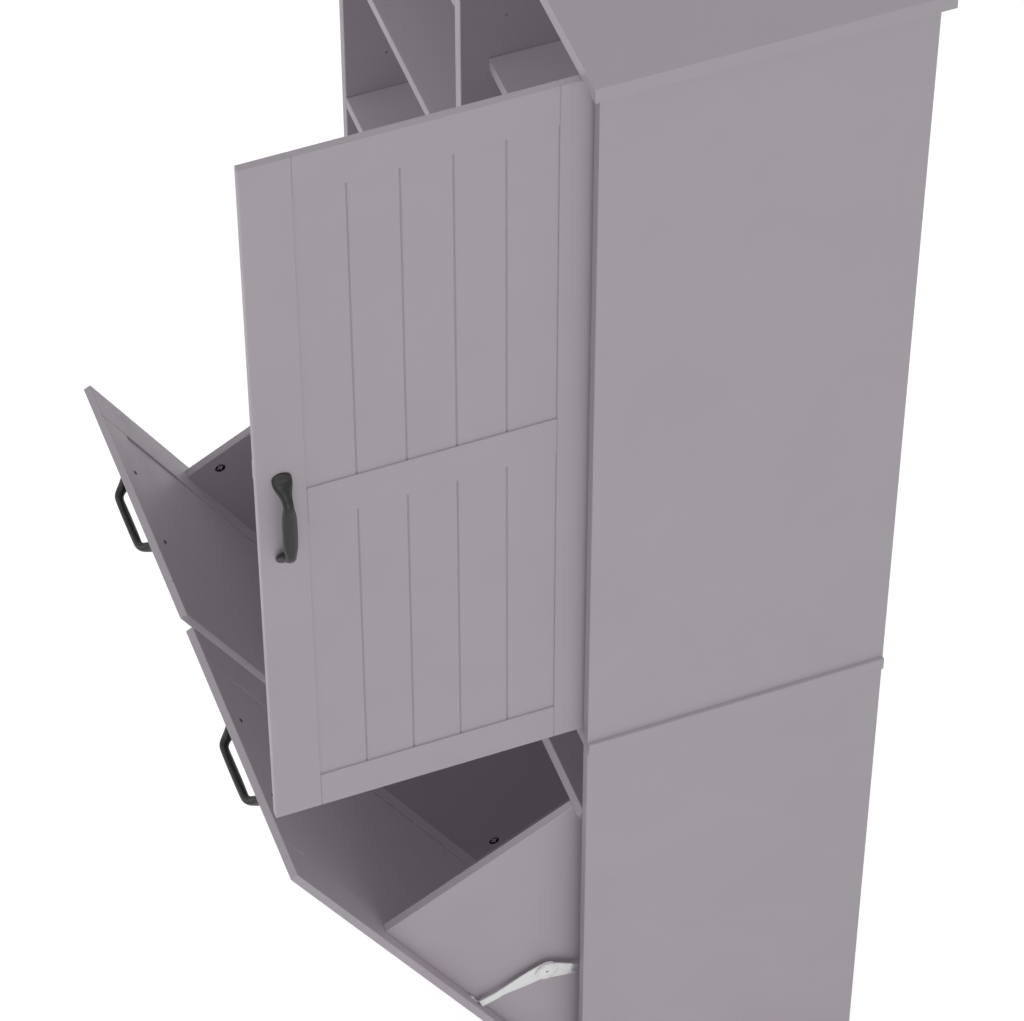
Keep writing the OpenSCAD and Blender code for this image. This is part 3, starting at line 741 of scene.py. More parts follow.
@dataclass
class PullHandle:
    """A cast pull: two spread feet, slanted legs and a broad grip."""

    span: float = 128 * MM
    foot_end: float = 77.4 * MM
    ring: int = 16
    squareness: float = 2.5
    shrink: float = 0.975

    @staticmethod
    def stations() -> list[tuple[float, ...]]:
        """Lists the cross sections of one half, from the middle of the grip to the foot's end.

        Returns:
            For each, in metres, its place along the handle and above the front, its width and its thickness.
        """
        half = (
            (0.0, 24.0, 18.0, 10.0), (13.0, 24.0, 18.0, 10.0), (25.0, 24.0, 17.6, 10.0), (33.0, 24.0, 15.2, 10.0),
            (40.0, 24.0, 12.8, 10.4), (45.0, 23.2, 12.4, 11.2), (49.3, 20.6, 12.4, 11.6), (52.6, 16.6, 13.4, 11.6),
            (55.4, 12.2, 16.8, 11.4), (58.2, 8.2, 20.4, 10.4), (61.4, 5.0, 23.0, 8.6), (65.0, 2.9, 23.8, 6.6),
            (68.5, 1.9, 23.6, 5.4), (72.0, 1.4, 22.4, 4.6), (74.6, 1.1, 18.4, 4.0), (76.4, 0.9, 12.4, 3.4),
            (77.2, 0.7, 6.0, 2.6),
        )
        return [tuple(value * MM for value in row) for row in half]

    def build(self, place: Matrix) -> Blank:
        """Makes the handle, drawn along X and standing on z = 0.

        Args:
            place: From local to world.

        Returns:
            The handle, subdivided and cut flat where it seats.
        """
        half = self.stations()
        rows = [(-x, z, w, t) for x, z, w, t in reversed(half[1:])] + half
        bm = bmesh.new()
        loops = []
        for i, (x, z, width, thick) in enumerate(rows):
            ahead, behind = rows[min(i + 1, len(rows) - 1)], rows[max(i - 1, 0)]
            section = frame_at((x, 0, z), Y, (ahead[0] - behind[0], 0.0, ahead[1] - behind[1]))
            size = Matrix.Diagonal((width / 2 / self.shrink, thick / 2 / self.shrink, 1.0, 1.0))
            verts = bmesh.ops.create_circle(bm, radius=1.0, segments=self.ring)["verts"]
            Blank.square_up(verts, self.squareness)
            bmesh.ops.transform(bm, matrix=section @ size, verts=verts)
            loops.append(once(e for v in verts for e in v.link_edges))
        for first, second in zip(loops, loops[1:]):
            bmesh.ops.bridge_loops(bm, edges=first + second)
        for loop, end in ((loops[0], -self.foot_end), (loops[-1], self.foot_end)):
            self.close_end(bm, loop, end)
        bmesh.ops.recalc_face_normals(bm, faces=bm.faces)
        fine = self.seated(bm)
        bmesh.ops.transform(fine, matrix=place, verts=fine.verts)
        return Blank(fine)

    @staticmethod
    def close_end(bm: Mesh, loop: list[bmesh.types.BMEdge], x_end: float) -> None:
        """Closes an open end with a small cap that ends at x_end.

        Args:
            bm: The mesh.
            loop: Edges of the open end.
            x_end: Place of the cap along the handle.
        """
        out = bmesh.ops.extrude_edge_only(bm, edges=loop)
        verts = [g for g in out["geom"] if isinstance(g, bmesh.types.BMVert)]
        middle = sum((v.co for v in verts), Vector()) / len(verts)
        bmesh.ops.scale(bm, verts=verts, vec=(0.0, 0.5, 0.5), space=Matrix.Translation(-middle))
        bmesh.ops.translate(bm, verts=verts, vec=(x_end - middle.x, 0, 0))
        edges = [g for g in out["geom"] if isinstance(g, bmesh.types.BMEdge)]
        bmesh.ops.contextual_create(bm, geom=[e for e in edges if e.is_boundary])

    @staticmethod
    def seated(bm: Mesh) -> Mesh:
        """Subdivides the handle and cuts its feet flat at z = 0.

        Args:
            bm: The coarse mesh, which is freed.

        Returns:
            The fine mesh.
        """
        mesh = bpy.data.meshes.new("handle_cage")
        bm.to_mesh(mesh)
        bm.free()
        cage = bpy.data.objects.new("handle_cage", mesh)
        bpy.context.scene.collection.objects.link(cage)
        smooth = cage.modifiers.new("smooth", "SUBSURF")
        smooth.levels = smooth.render_levels = 2
        fine = cage.evaluated_get(bpy.context.evaluated_depsgraph_get()).to_mesh()
        bm = bmesh.new()
        bm.from_mesh(fine)
        bpy.data.objects.remove(cage)
        bpy.data.meshes.remove(mesh)
        geom = list(bm.verts) + list(bm.edges) + list(bm.faces)
        cut = bmesh.ops.bisect_plane(bm, geom=geom, plane_co=(0, 0, 0), plane_no=Z, clear_inner=True)
        rims = [g for g in cut["geom_cut"] if isinstance(g, bmesh.types.BMEdge)]
        bmesh.ops.holes_fill(bm, edges=rims, sides=0)
        bmesh.ops.recalc_face_normals(bm, faces=bm.faces)
        return bm


@dataclass
class Mover:
    """A part that swings or tilts, drawn as it stands when closed."""

    shop: Workshop
    body: str
    joint: str

    def __post_init__(self) -> None:
        """Finds the pivot and the turns between closed and rest."""
        self.pivot = pivot_of(self.joint)
        self.turn = closed_to_rest(self.joint)
        self.closed = self.turn.inverted()

    def closed_box(self, node: str) -> tuple[Vector, Vector]:
        """Gives the box of a node as it stands when closed.

        Args:
            node: The node's name.

        Returns:
            Its lowest and highest corner.
        """
        points = [self.closed @ v.co for v in frame["nodes"][node].data.vertices]
        return tuple(Vector(pick(p[i] for p in points) for i in range(3)) for pick in (min, max))

    def add(self, blank: Blank, name: str, slot: Slot, *stands_for: str) -> None:
        """Makes a piece of a blank, which rides on this part and may stand for some nodes."""
        self.shop.place(blank, name, self.body, slot, *stands_for, turn=self.turn)


@dataclass
class Door(Mover):
    """What the door carries: its pull, the pull's screws, three hinge cups and the plate of the catch."""

    body: str = "door"
    joint: str = "door_swing"
    pull_screw: Pair = (3 * MM, 1.6 * MM)
    cup_in: float = 4 * MM
    cup_r: float = 13 * MM
    cup_depth: float = 9 * MM
    cup_wall: float = 1 * MM
    flange: Pair = (14 * MM, 22 * MM)
    flange_t: float = 1 * MM
    flange_screw_at: float = 17.5 * MM
    flange_screw_r: float = 2.8 * MM
    pin_r: float = 1.5 * MM
    pin_half: float = 11.8 * MM
    hinge_end: float = 100 * MM
    strike_corner: float = 2 * MM
    strike_rim: float = 0.2 * MM
    strike_screw_r: float = 2.6 * MM

    def build(self) -> None:
        """Builds the door's pieces."""
        stile_low, stile_high = self.closed_box("door_stile_free")
        self.outer, self.inner = stile_low.y, stile_high.y
        self.low_z, self.high_z = stile_low.z, stile_high.z
        self.build_pull((stile_low.x + stile_high.x) / 2)
        self.build_cups()
        self.build_strike()

    def hinge_zs(self) -> list[float]:
        """Gives the height of the middle of each hinge."""
        return [self.low_z + self.hinge_end, (self.low_z + self.high_z) / 2, self.high_z - self.hinge_end]

    def build_pull(self, x: float) -> None:
        """Builds the pull and the heads of its screws on the inner face.

        Args:
            x: Middle of the free stile, where the pull stands.
        """
        low, high = self.closed_box("door_handle")
        z = (low.z + high.z) / 2
        pull = PullHandle().build(frame_at((x, self.outer, z), Z, FRONT))
        self.add(pull, "door_pull", Slot.BLACK, "door_handle")
        screws = Blank()
        for s in ENDS:
            spot = (x, self.inner, z + s * PullHandle.span / 2)
            screws.screw_head(*self.pull_screw, frame_at(spot, X, Y))
        self.add(screws, "door_pull_screws", Slot.DARK, "door_handle_screws")

    def build_cups(self) -> None:
        """Builds the hinge cups, each with its flange, two screws and the pin that the arm turns on."""
        cups = Blank()
        r, wall, deep = self.cup_r, self.cup_wall, self.cup_depth
        cup = [(0.0, -deep), (r, -deep), (r, 0.0), (r - wall, 0.0), (r - wall, wall - deep), (0.0, wall - deep)]
        pin = [(0.0, -self.pin_half), (self.pin_r, -self.pin_half), (self.pin_r, self.pin_half), (0.0, self.pin_half)]
        for z in self.hinge_zs():
            seat = frame_at((self.pivot.x - self.cup_in, self.inner, z), X, Y)
            cups.turned(cup, seat, 48)
            cups.collar(self.flange, r - wall, self.flange_t, seat, squareness=3.2)
            cups.turned(pin, frame_at((self.pivot.x, self.pivot.y, z), X, Z), 16)
            for s in ENDS:
                cups.flush_screw(self.flange_screw_r, shifted(seat, 0, s * self.flange_screw_at, self.flange_t))
        self.add(cups, "door_cups", Slot.HINGE, "door_hinge_cups")

    def build_strike(self) -> None:
        """Builds the plate that the catch holds, with its screw."""
        low, high = self.closed_box("door_strike")
        middle, size = (low + high) / 2, high - low
        seat = frame_at((middle.x, low.y, middle.z), X, Y)
        strike = Blank()
        strike.plate((size.x, size.z, size.y), seat, self.strike_corner, self.strike_rim)
        strike.flush_screw(self.strike_screw_r, shifted(seat, 0.28 * size.x, 0, size.y))
        self.add(strike, "door_strike_plate", Slot.ZINC, "door_strike")


@dataclass(frozen=True)
class HingeScrews:
    """The flush screws of a hamper's two butt hinges, three in a row on each."""

    hinge_x: float = 140 * MM
    spots: Sequence[float] = (-20 * MM, 0.0, 20 * MM)

    def build(self, screws: Blank, radius: float, middle: Point, out: Point) -> None:
        """Adds the screws on one side of the hinges.

        Args:
            screws: Where they are added.
            radius: Radius of each head.
            middle: Point midway between the hinges.
            out: Way that the heads face.
        """
        x, y, z = middle
        for s in ENDS:
            for along in self.spots:
                screws.flush_screw(radius, frame_at((x + s * self.hinge_x + along, y, z), X, out))


@dataclass
class Hamper(Mover):
    """What a hamper carries: its pull, cam fittings, screws, hinge screws and the hooks of its stays."""

    side: Side = Side.LEFT
    pull_screw: Pair = (3 * MM, 1.2 * MM)
    cam_r: float = 7.5 * MM
    cam_t: float = 9 * MM
    cam_rim: float = 0.5 * MM
    cam_floor: float = -1.6 * MM
    cam_set: float = 40 * MM
    cam_end: float = 25 * MM
    leaf_t: float = 1.2 * MM
    leaf_screw_in: float = 5.5 * MM
    leaf_screw_r: float = 2.6 * MM
    hook_up: float = 288.5 * MM
    hook_in: float = 24 * MM
    hook_plate: Pair = (192.4 * MM, 199.1 * MM)
    hook_plate_h: float = 30 * MM
    hook_t: float = 1.5 * MM
    hook_screw: Pair = (2.9 * MM, 1.0 * MM)
    hook_screw_up: float = 16.1 * MM
    ear_half: float = 6 * MM
    ear_past: float = 4 * MM
    pin_r: float = 2.5 * MM
    pin_shoulder: Pair = (4 * MM, 1.2 * MM)
    pin_end: float = 3 * MM

    @classmethod
    def of(cls, shop: Workshop, side: Side) -> "Hamper":
        """Makes the hamper of a side."""
        return cls(shop, f"{side.word}_hamper", f"{side.word}_hamper_tilt", side)

    def node(self, name: str) -> str:
        """Gives the full name of one of this hamper's nodes."""
        return f"{self.side.word}_{name}"

    def build(self) -> None:
        """Builds the hamper's pieces."""
        self.front_low, front_high = self.closed_box(self.node("front_stiles"))
        self.inner = front_high.y
        self.build_pull_and_cams()
        self.build_hinge_screws()
        self.build_hooks()

    def build_pull_and_cams(self) -> None:
        """Builds the pull on the front, its screws and the four cam fittings."""
        low, high = self.closed_box(self.node("handle"))
        z = (low.z + high.z) / 2
        pull = PullHandle().build(frame_at((self.pivot.x, high.y, z), X, FRONT))
        self.add(pull, self.node("pull"), Slot.BLACK, self.node("handle"))
        dark, bright = Blank(), Blank()
        for s in ENDS:
            spot = (self.pivot.x + s * PullHandle.span / 2, self.inner, z)
            dark.screw_head(*self.pull_screw, frame_at(spot, X, Y))
        floor_low, floor_high = self.closed_box(self.node("bin_floor"))
        walls_low, walls_high = self.closed_box(self.node("bin_walls"))
        for z in (walls_low.z + self.cam_end, walls_high.z - self.cam_end):
            for x, inwards in ((floor_low.x, 1), (floor_high.x, -1)):
                self.cam(dark, bright, frame_at((x, walls_low.y + self.cam_set, z), Y, (inwards, 0, 0)))
        self.add(dark, self.node("cams_and_screws"), Slot.DARK, self.node("fasteners"))
        self.add(bright, self.node("cam_heads"), Slot.ZINC, self.node("fasteners"))

    def cam(self, cups: Blank, crosses: Blank, place: Matrix) -> None:
        """Adds a cam fitting: a dark cup flush with the inner face of a bin wall, and a bright cross set in it.

        Args:
            cups: Where the cup is added.
            crosses: Where the cross is added.
            place: Its place, with Z out of the wall.
        """
        r, back, floor = self.cam_r, -self.cam_t, self.cam_floor
        cup = [(0.0, back), (r, back), (r, -self.cam_rim), (0.95 * r, 0.0), (0.84 * r, 0.0), (0.78 * r, floor)]
        cups.turned([*cup, (0.0, floor)], place, 36)
        cross = [(x, y, 0.0) for x, y in cross_corners(0.56 * r, 0.13 * r)]
        crosses.cut(cross, 1.0 * MM, shifted(place, 0, 0, floor - 0.1 * MM), 0.1 * MM)

    def build_hinge_screws(self) -> None:
        """Builds the screws of the two hinge leaves under the front's lower edge."""
        y = self.closed_box(self.node("hinge_leaves"))[1].y - self.leaf_screw_in
        screws = Blank()
        HingeScrews().build(screws, self.leaf_screw_r, (self.pivot.x, y, self.front_low.z - self.leaf_t), DOWN)
        self.add(screws, self.node("hinge_leaf_screws"), Slot.ZINC)

    def build_hooks(self) -> None:
        """Builds the hooks of the two stays: a screwed plate, an ear with a round end, and a pin with a shoulder."""
        hooks = Blank()
        y, z = self.pivot.y + self.hook_in, self.pivot.z + self.hook_up
        in_x, out_x = self.hook_plate
        h, reach = self.ear_half, y + self.ear_past - self.inner
        ear = [(0.0, -h, 0.0), (reach, -h, 0.96 * h), (reach, h, 0.96 * h), (0.0, h, 0.0)]
        r, end = self.pin_r, self.pin_end
        wide, step = self.pin_shoulder
        pin = [(0.0, 0.0), (wide, 0.0), (wide, step), (r, step), (r, end), (0.0, end)]
        for s in ENDS:
            x, far_x = self.pivot.x + s * (in_x + out_x) / 2, self.pivot.x + s * out_x
            plate = frame_at((x, self.inner, z - h + self.hook_plate_h / 2), X, Y)
            hooks.plate((out_x - in_x, self.hook_plate_h, self.hook_t), plate, 2 * MM, 0.3 * MM)
            screw = frame_at((x, self.inner + self.hook_t, z + self.hook_screw_up), X, Y)
            hooks.screw_head(*self.hook_screw, screw)
            hooks.cut(ear, self.hook_t, frame_at((far_x, self.inner, z), Y, (-s, 0, 0)), 0.25 * MM)
            hooks.turned(pin, frame_at((far_x, y, z), Y, (s, 0, 0)), 24)
        self.add(hooks, self.node("stay_hook_plates"), Slot.ZINC, self.node("stay_hooks"))


@dataclass
class Stays:
    """The two folding stays of a hamper: a front arm, and a rear arm with a round boss and a plain tail."""

    shop: Workshop
    side: Side
    front_len: float = 90.9 * MM
    rear_len: float = 120 * MM
    arm_t: float = 2 * MM
    arm_x: float = 199.5 * MM
    gap: float = 0.4 * MM
    elbow_r: float = 14.5 * MM
    boss_r: float = 15.5 * MM
    boss_t: float = 1.5 * MM
    tip_half: float = 6.4 * MM
    tip_step: float = 1.0 * MM
    step_along: Pair = (18 * MM, 24 * MM)
    neck_end: float = 27 * MM
    flare: Pair = (56 * MM, 12.2 * MM)
    cover_end: float = 34.5 * MM
    cover_half: float = 10.3 * MM
    tail_half: float = 9.6 * MM
    tail_t: float = 1.4 * MM
    tail_lap: float = 6 * MM
    tail_slot: Pair = (5.6 * MM, 26 * MM)
    heel: float = 8 * MM
    front_rivet: tuple[float, float, float] = (3.6 * MM, 0.4 * MM, 0.8 * MM)
    rear_rivet: tuple[float, float, float] = (4.2 * MM, -0.6 * MM, -1.0 * MM)
    ease: float = 0.35 * MM

    def build(self) -> None:
        """Builds the arms on both sides of the hamper."""
        hook = pivot_of(f"{self.side.word}_stay_front_pivot")
        anchor = pivot_of(f"{self.side.word}_stay_rear_pivot")
        elbow = self.elbow(hook, anchor)
        for hand in Side:
            self.front_arm(hand, hook, elbow)
            self.rear_arm(hand, elbow, anchor)

    def add(self, blank: Blank, name: str, hand: Side, slot: Slot, body: str) -> None:
        """Makes a piece of a blank.

        Args:
            blank: The blank.
            name: Name of the piece, without its side and hand.
            hand: Which stay.
            slot: Slot that gives its finish.
            body: Body that it rides on, without its side; it stands for that body's arms.
        """
        word = self.side.word
        self.shop.place(blank, f"{word}_{name}_{hand.word}", f"{word}_{body}", slot, f"{word}_{body}_arms")

    def elbow(self, hook: Vector, anchor: Vector) -> Vector:
        """Finds where the arms meet at rest.

        Args:
            hook: Front pivot.
            anchor: Rear pivot.

        Returns:
            The elbow, above the line between the pivots.
        """
        span = anchor - hook
        along = (self.front_len**2 - self.rear_len**2 + span.length**2) / (2 * span.length)
        rise = math.sqrt(self.front_len**2 - along**2)
        return hook + along * span.normalized() + rise * Vector((0, -span.z, span.y)).normalized()

    @staticmethod
    def both_edges(*half: tuple[float, float, float]) -> Corners:
        """Gives a whole outline from the corners of its upper edge."""
        return [*half, *((x, -y, r) for x, y, r in reversed(half))]

    @staticmethod
    def rivet(radius: float, edge: float, top: float, foot: float) -> Profile:
        """Gives the profile of a rivet's head.

        Args:
            radius: Its radius.
            edge: Height where its side ends.
            top: Height of its top.
            foot: Height of its foot.

        Returns:
            Radius and height of each point.
        """
        return [(0.0, foot), (radius, foot), (radius, edge), (0.85 * radius, top), (0.0, top)]

    def arm_frame(self, hand: Side, start: Vector, end: Vector, plane: float) -> Matrix:
        """Gives the frame of an arm: X along it and Z away from the hamper.

        Args:
            hand: Which stay.
            start: Pivot at its start.
            end: Pivot at its end.
            plane: Distance of its inner face from the middle of the hamper.

        Returns:
            The matrix from local to world.
        """
        along = end - start
        return frame_at((start.x + hand.value * plane, start.y, start.z), (0, along.y, along.z), (hand.value, 0, 0))

    def front_arm(self, hand: Side, hook: Vector, elbow: Vector) -> None:
        """Builds one front arm, whose tip steps out beside the hook's ear.

        Args:
            hand: Which stay.
            hook: Front pivot.
            elbow: Where the arms meet.
        """
        arm, here = Blank(), Matrix.Identity(4)
        tip, end_r = self.tip_half, self.elbow_r
        outline = self.both_edges(
            (-tip, tip, 1.5 * MM), (self.neck_end, tip, 8 * MM), (*self.flare, 8 * MM),
            (0.84 * self.front_len, end_r, 6 * MM), (self.front_len + end_r, end_r, 0.98 * end_r),
        )
        arm.cut(outline, self.arm_t, here, self.ease)
        low, high = self.step_along
        for x in (low, high):
            geom = list(arm.bm.verts) + list(arm.bm.edges) + list(arm.bm.faces)
            bmesh.ops.bisect_plane(arm.bm, geom=geom, plane_co=(x, 0, 0), plane_no=X)
        for v in arm.bm.verts:
            v.co.z += min(max((high - v.co.x) / (high - low), 0.0), 1.0) * self.tip_step
        head = self.rivet(*self.front_rivet, foot=-0.2 * MM)
        arm.turned(head, shifted(here, 0, 0, self.arm_t + self.tip_step), 24)
        bmesh.ops.transform(arm.bm, matrix=self.arm_frame(hand, hook, elbow, self.arm_x), verts=arm.bm.verts)
        self.add(arm, "stay_front_arm", hand, Slot.STAY, "stay_front")

    def rear_arm(self, hand: Side, elbow: Vector, anchor: Vector) -> None:
        """Builds one rear arm: the pale arm with its boss, and the plain slotted tail that it is riveted to.

        Args:
            hand: Which stay.
            elbow: Where the arms meet.
            anchor: Rear pivot.
        """
        place = self.arm_frame(hand, elbow, anchor, self.arm_x + self.arm_t + self.gap)
        arm, end_r = Blank(), self.elbow_r
        outline = self.both_edges(
            (-end_r, end_r, 0.98 * end_r), (8 * MM, end_r, 8 * MM), (self.cover_end, self.cover_half, 0.8 * MM)
        )
        arm.cut(outline, self.arm_t, place, self.ease)
        arm.turned(self.boss(), shifted(place, 0, 0, self.arm_t), 56)
        self.add(arm, "stay_rear_arm", hand, Slot.STAY, "stay_rear")
        tail, inset = Blank(), (self.arm_t - self.tail_t) / 2
        outline = self.both_edges(
            (self.cover_end - self.tail_lap, self.tail_half, 0.0),
            (self.rear_len + self.heel, 0.95 * self.tail_half, 2.4 * MM),
        )
        slot = (*(self.cover_end + x for x in self.tail_slot), 0.4 * self.tail_half)
        tail.cut(outline, self.tail_t, shifted(place, 0, 0, inset), 0.2 * MM, slot)
        head = self.rivet(*self.rear_rivet, foot=0.0)
        tail.turned(head, shifted(place, self.rear_len, 0, inset + 0.1 * MM), 24)
        self.add(tail, "stay_tail", hand, Slot.ZINC, "stay_rear")

    def boss(self) -> Profile:
        """Gives the profile of the round boss over the elbow, with its ring groove and its hole."""
        r, t = self.boss_r, self.boss_t
        return [
            (0.0, -0.2 * MM), (r, -0.2 * MM), (r, 0.6 * t), (r - 0.3 * MM, 0.8 * t), (r - 0.9 * MM, 0.8 * t),
            (r - 1.0 * MM, 0.05 * t), (r - 2.9 * MM, 0.05 * t), (r - 3.0 * MM, 0.85 * t), (r - 3.4 * MM, t),
            (2.5 * MM, t), (2.1 * MM, 0.8 * t), (2.0 * MM, 0.0), (0.0, 0.0),
        ]


@dataclass
class Fittings:
    """What the cabinet itself carries: hinge arms and plates, the catch, shelf pins and the brackets of the stays."""

    shop: Workshop
    door: Door
    arm_wide: float = 8 * MM
    arm_half: float = 1.5 * MM
    arm_start: float = -2.5 * MM
    arm_screw: Pair = (2.7 * MM, 1.2 * MM)
    eye_r: float = 3.5 * MM
    leg: float = 9 * MM
    crank: float = 20.5 * MM
    crank_end: float = 15 * MM
    plate_size: Point = (36 * MM, 30 * MM, 2 * MM)
    plate_y: float = 34 * MM
    plate_screw: Pair = (3 * MM, 1.2 * MM)
    catch_ear: float = 7 * MM
    catch_flange_t: float = 2 * MM
    catch_screw: Pair = (2.6 * MM, 0.9 * MM)
    pole_out: float = 0.3 * MM
    pole_at: Sequence[float] = (3.5 * MM, 8.5 * MM)
    pole_size: Pair = (1.4 * MM, 4 * MM)
    pin_r: float = 2.5 * MM
    pin_in: float = 6 * MM
    pin_out: float = 9 * MM
    pin_drop: float = 2.7 * MM
    pin_inset: float = 57 * MM
    pin_edge: float = 0.4 * MM
    bracket: Point = (34 * MM, 22 * MM, 1.5 * MM)
    bracket_x: float = 213 * MM
    bracket_screw: Pair = (3 * MM, 0.9 * MM)
    bracket_screw_at: float = 11.5 * MM
    bracket_pin: Pair = (4.6 * MM, 2.5 * MM)
    arm_face: float = 203.9 * MM
    base_t: float = 1.2 * MM
    base_screw_in: float = 21 * MM
    base_screw_r: float = 2.8 * MM

    def add(self, blank: Blank, name: str, slot: Slot, *stands_for: str) -> None:
        """Makes a piece of a blank, which rides on the cabinet and may stand for some nodes."""
        self.shop.place(blank, name, "cabinet", slot, *stands_for)

    def build(self) -> None:
        """Builds the cabinet's pieces."""
        self.bay_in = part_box("upper_divider")[1].x
        self.bay_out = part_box("upper_side_right")[0].x
        self.build_hinge_arms()
        self.build_hinge_plates()
        self.build_catch()
        self.build_shelf_pins()
        self.build_brackets()
        self.build_base_screws()

    def build_hinge_arms(self) -> None:
        """Builds the cranked arms, each with its eye round the cup's pin and two set screws."""
        arms, pivot = Blank(), self.door.pivot
        h, leg, crank, start, end = self.arm_half, self.leg, self.crank, self.arm_start, self.crank_end
        path = [
            (start, -h, 0.0), (-leg - h, -h, 3 * h), (-leg - h, crank + h, 3 * h), (end, crank + h, 0.0),
            (end, crank - h, 0.0), (-leg + h, crank - h, h), (-leg + h, h, h), (start, h, 0.0),
        ]
        bore, wide = self.door.pin_r + 0.05 * MM, self.arm_wide
        eye = [(bore, 0.0), (self.eye_r, 0.0), (self.eye_r, wide), (bore, wide), (bore, 0.0)]
        for z in self.door.hinge_zs():
            place = frame_at((pivot.x, pivot.y, z - wide / 2), X, Z)
            arms.cut(path, wide, place, 0.3 * MM)
            arms.turned(eye, place)
            for x in (0.0, 0.72 * end):
                spot = (pivot.x + x, pivot.y + crank - h, z)
                arms.screw_head(*self.arm_screw, frame_at(spot, X, FRONT))
        self.add(arms, "door_cranked_arms", Slot.HINGE, "door_hinge_arms")

    def build_hinge_plates(self) -> None:
        """Builds the plates on the side panel, each with two screws."""
        plates = Blank()
        _, high, thick = self.plate_size
        for z in self.door.hinge_zs():
            seat = frame_at((self.bay_out, self.door.pivot.y + self.plate_y, z), Y, (-1, 0, 0))
            plates.plate(self.plate_size, seat, 5 * MM, 0.4 * MM)
            for s in ENDS:
                plates.screw_head(*self.plate_screw, shifted(seat, 0, s * high / 3, thick))
        self.add(plates, "door_screwed_plates", Slot.HINGE, "door_hinge_plates")

    def build_catch(self) -> None:
        """Builds the magnetic catch: a screwed housing and the two pole strips at its mouth."""
        low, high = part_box("door_catch")
        middle, size = (low + high) / 2, high - low
        out, ear, flange_t = self.pole_out, self.catch_ear, self.catch_flange_t
        seat = frame_at((low.x, middle.y, middle.z), Y, (1, 0, 0))
        housing, poles = Blank(), Blank()
        housing.plate((size.y, size.z, flange_t), seat, 3 * MM, 0.3 * MM)
        housing.plate((size.y - out, size.z - 2 * ear, size.x), shifted(seat, out / 2, 0, 0), 1.2 * MM, 0.5 * MM)
        for s in ENDS:
            housing.screw_head(*self.catch_screw, shifted(seat, 0, s * (size.z - ear) / 2, flange_t))
        self.add(housing, "door_catch_housing", Slot.CATCH, "door_catch")
        wide, deep = self.pole_size
        for x in self.pole_at:
            mouth = frame_at((low.x + x, low.y, middle.z), X, Y)
            poles.plate((wide, size.z - 2.6 * ear, deep), mouth, 0.0, 0.15 * MM)
        self.add(poles, "door_catch_poles", Slot.ZINC, "door_catch")

    def build_shelf_pins(self) -> None:
        """Builds the turned pins under the shelves, each with a thin collar."""
        pins, r, edge = Blank(), self.pin_r, self.pin_edge
        profile = [
            (0.0, -self.pin_in), (r - edge, -self.pin_in), (r, edge - self.pin_in), (r, 0.0), (r + 2 * edge, 0.0),
            (r + 2 * edge, edge), (r, edge), (r, self.pin_out - edge), (r - edge, self.pin_out), (0.0, self.pin_out),
        ]
        front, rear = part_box("upper_divider")[0].y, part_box("upper_back")[0].y
        shelves = [(-1, f"shelf_left_{level}") for level in ("low", "middle", "high")]
        shelves += [(1, f"shelf_right_{level}") for level in ("low", "high")]
        for side, shelf in shelves:
            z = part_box(shelf)[0].z - self.pin_drop
            for y in (front + self.pin_inset, rear - self.pin_inset):
                for x, out in ((side * self.bay_in, side), (side * self.bay_out, -side)):
                    pins.turned(profile, frame_at((x, y, z), Y, (out, 0, 0)), 20)
        self.add(pins, "shelf_pins_turned", Slot.ZINC, "shelf_pins")

    def build_brackets(self) -> None:
        """Builds the four brackets of the stays: a screwed plate, and a shouldered pin for the rear arm."""
        brackets, thick = Blank(), self.bracket[2]
        reach = self.bracket_x - self.arm_face
        shoulder, end, foot = reach - 0.4 * MM, reach + 1.8 * MM, 0.9 * thick
        wide, r = self.bracket_pin
        pin = [
            (0.0, foot), (wide, foot), (wide, shoulder - 0.5 * MM), (wide - 0.5 * MM, shoulder), (r, shoulder),
            (r, end), (0.0, end),
        ]
        for side in Side:
            anchor = pivot_of(f"{side.word}_stay_rear_pivot")
            for s in ENDS:
                seat = frame_at((anchor.x + s * self.bracket_x, anchor.y, anchor.z), Y, (-s, 0, 0))
                brackets.plate(self.bracket, seat, 4 * MM, 0.3 * MM)
                brackets.turned(pin, seat, 24)
                for end_side in ENDS:
                    spot = shifted(seat, end_side * self.bracket_screw_at, 0, thick)
                    brackets.screw_head(*self.bracket_screw, spot)
        self.add(brackets, "stay_bracket_plates", Slot.ZINC, "stay_side_brackets")

    def build_base_screws(self) -> None:
        """Builds the screws of the hinge bases on the bottom board."""
        screws, top = Blank(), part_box("bottom_board")[1].z + self.base_t
        for side in Side:
            pivot = pivot_of(f"{side.word}_hamper_tilt")
            HingeScrews().build(screws, self.base_screw_r, (pivot.x, pivot.y + self.base_screw_in, top), Z)
        self.add(screws, "hinge_base_screws", Slot.ZINC)


@dataclass(frozen=True)
class Lamp:
    """A large round soft lamp that faces the cabinet."""

    name: str
    azimuth: float
    elevation: float
    power: float
    away: float = 5.0
    size: float = 4.0
    casts: bool = True

    def build(self) -> None:
        """Hangs the lamp."""
        lamp = bpy.data.lights.new(self.name, "AREA")
        lamp.shape = "DISK"
        lamp.size = self.size
        lamp.energy = self.power
        lamp.use_shadow = self.casts
        turn, rise = math.radians(self.azimuth), math.radians(self.elevation)
        out = Vector((math.sin(turn) * math.cos(rise), -math.cos(turn) * math.cos(rise), math.sin(rise)))
        holder = bpy.data.objects.new(self.name, lamp)
        holder.location = (CAD_BOX[0] + CAD_BOX[1]) / 2 + self.away * out
        holder.rotation_euler = (-out).to_track_quat("-Z", "Y").to_euler()
        bpy.context.scene.collection.objects.link(holder)


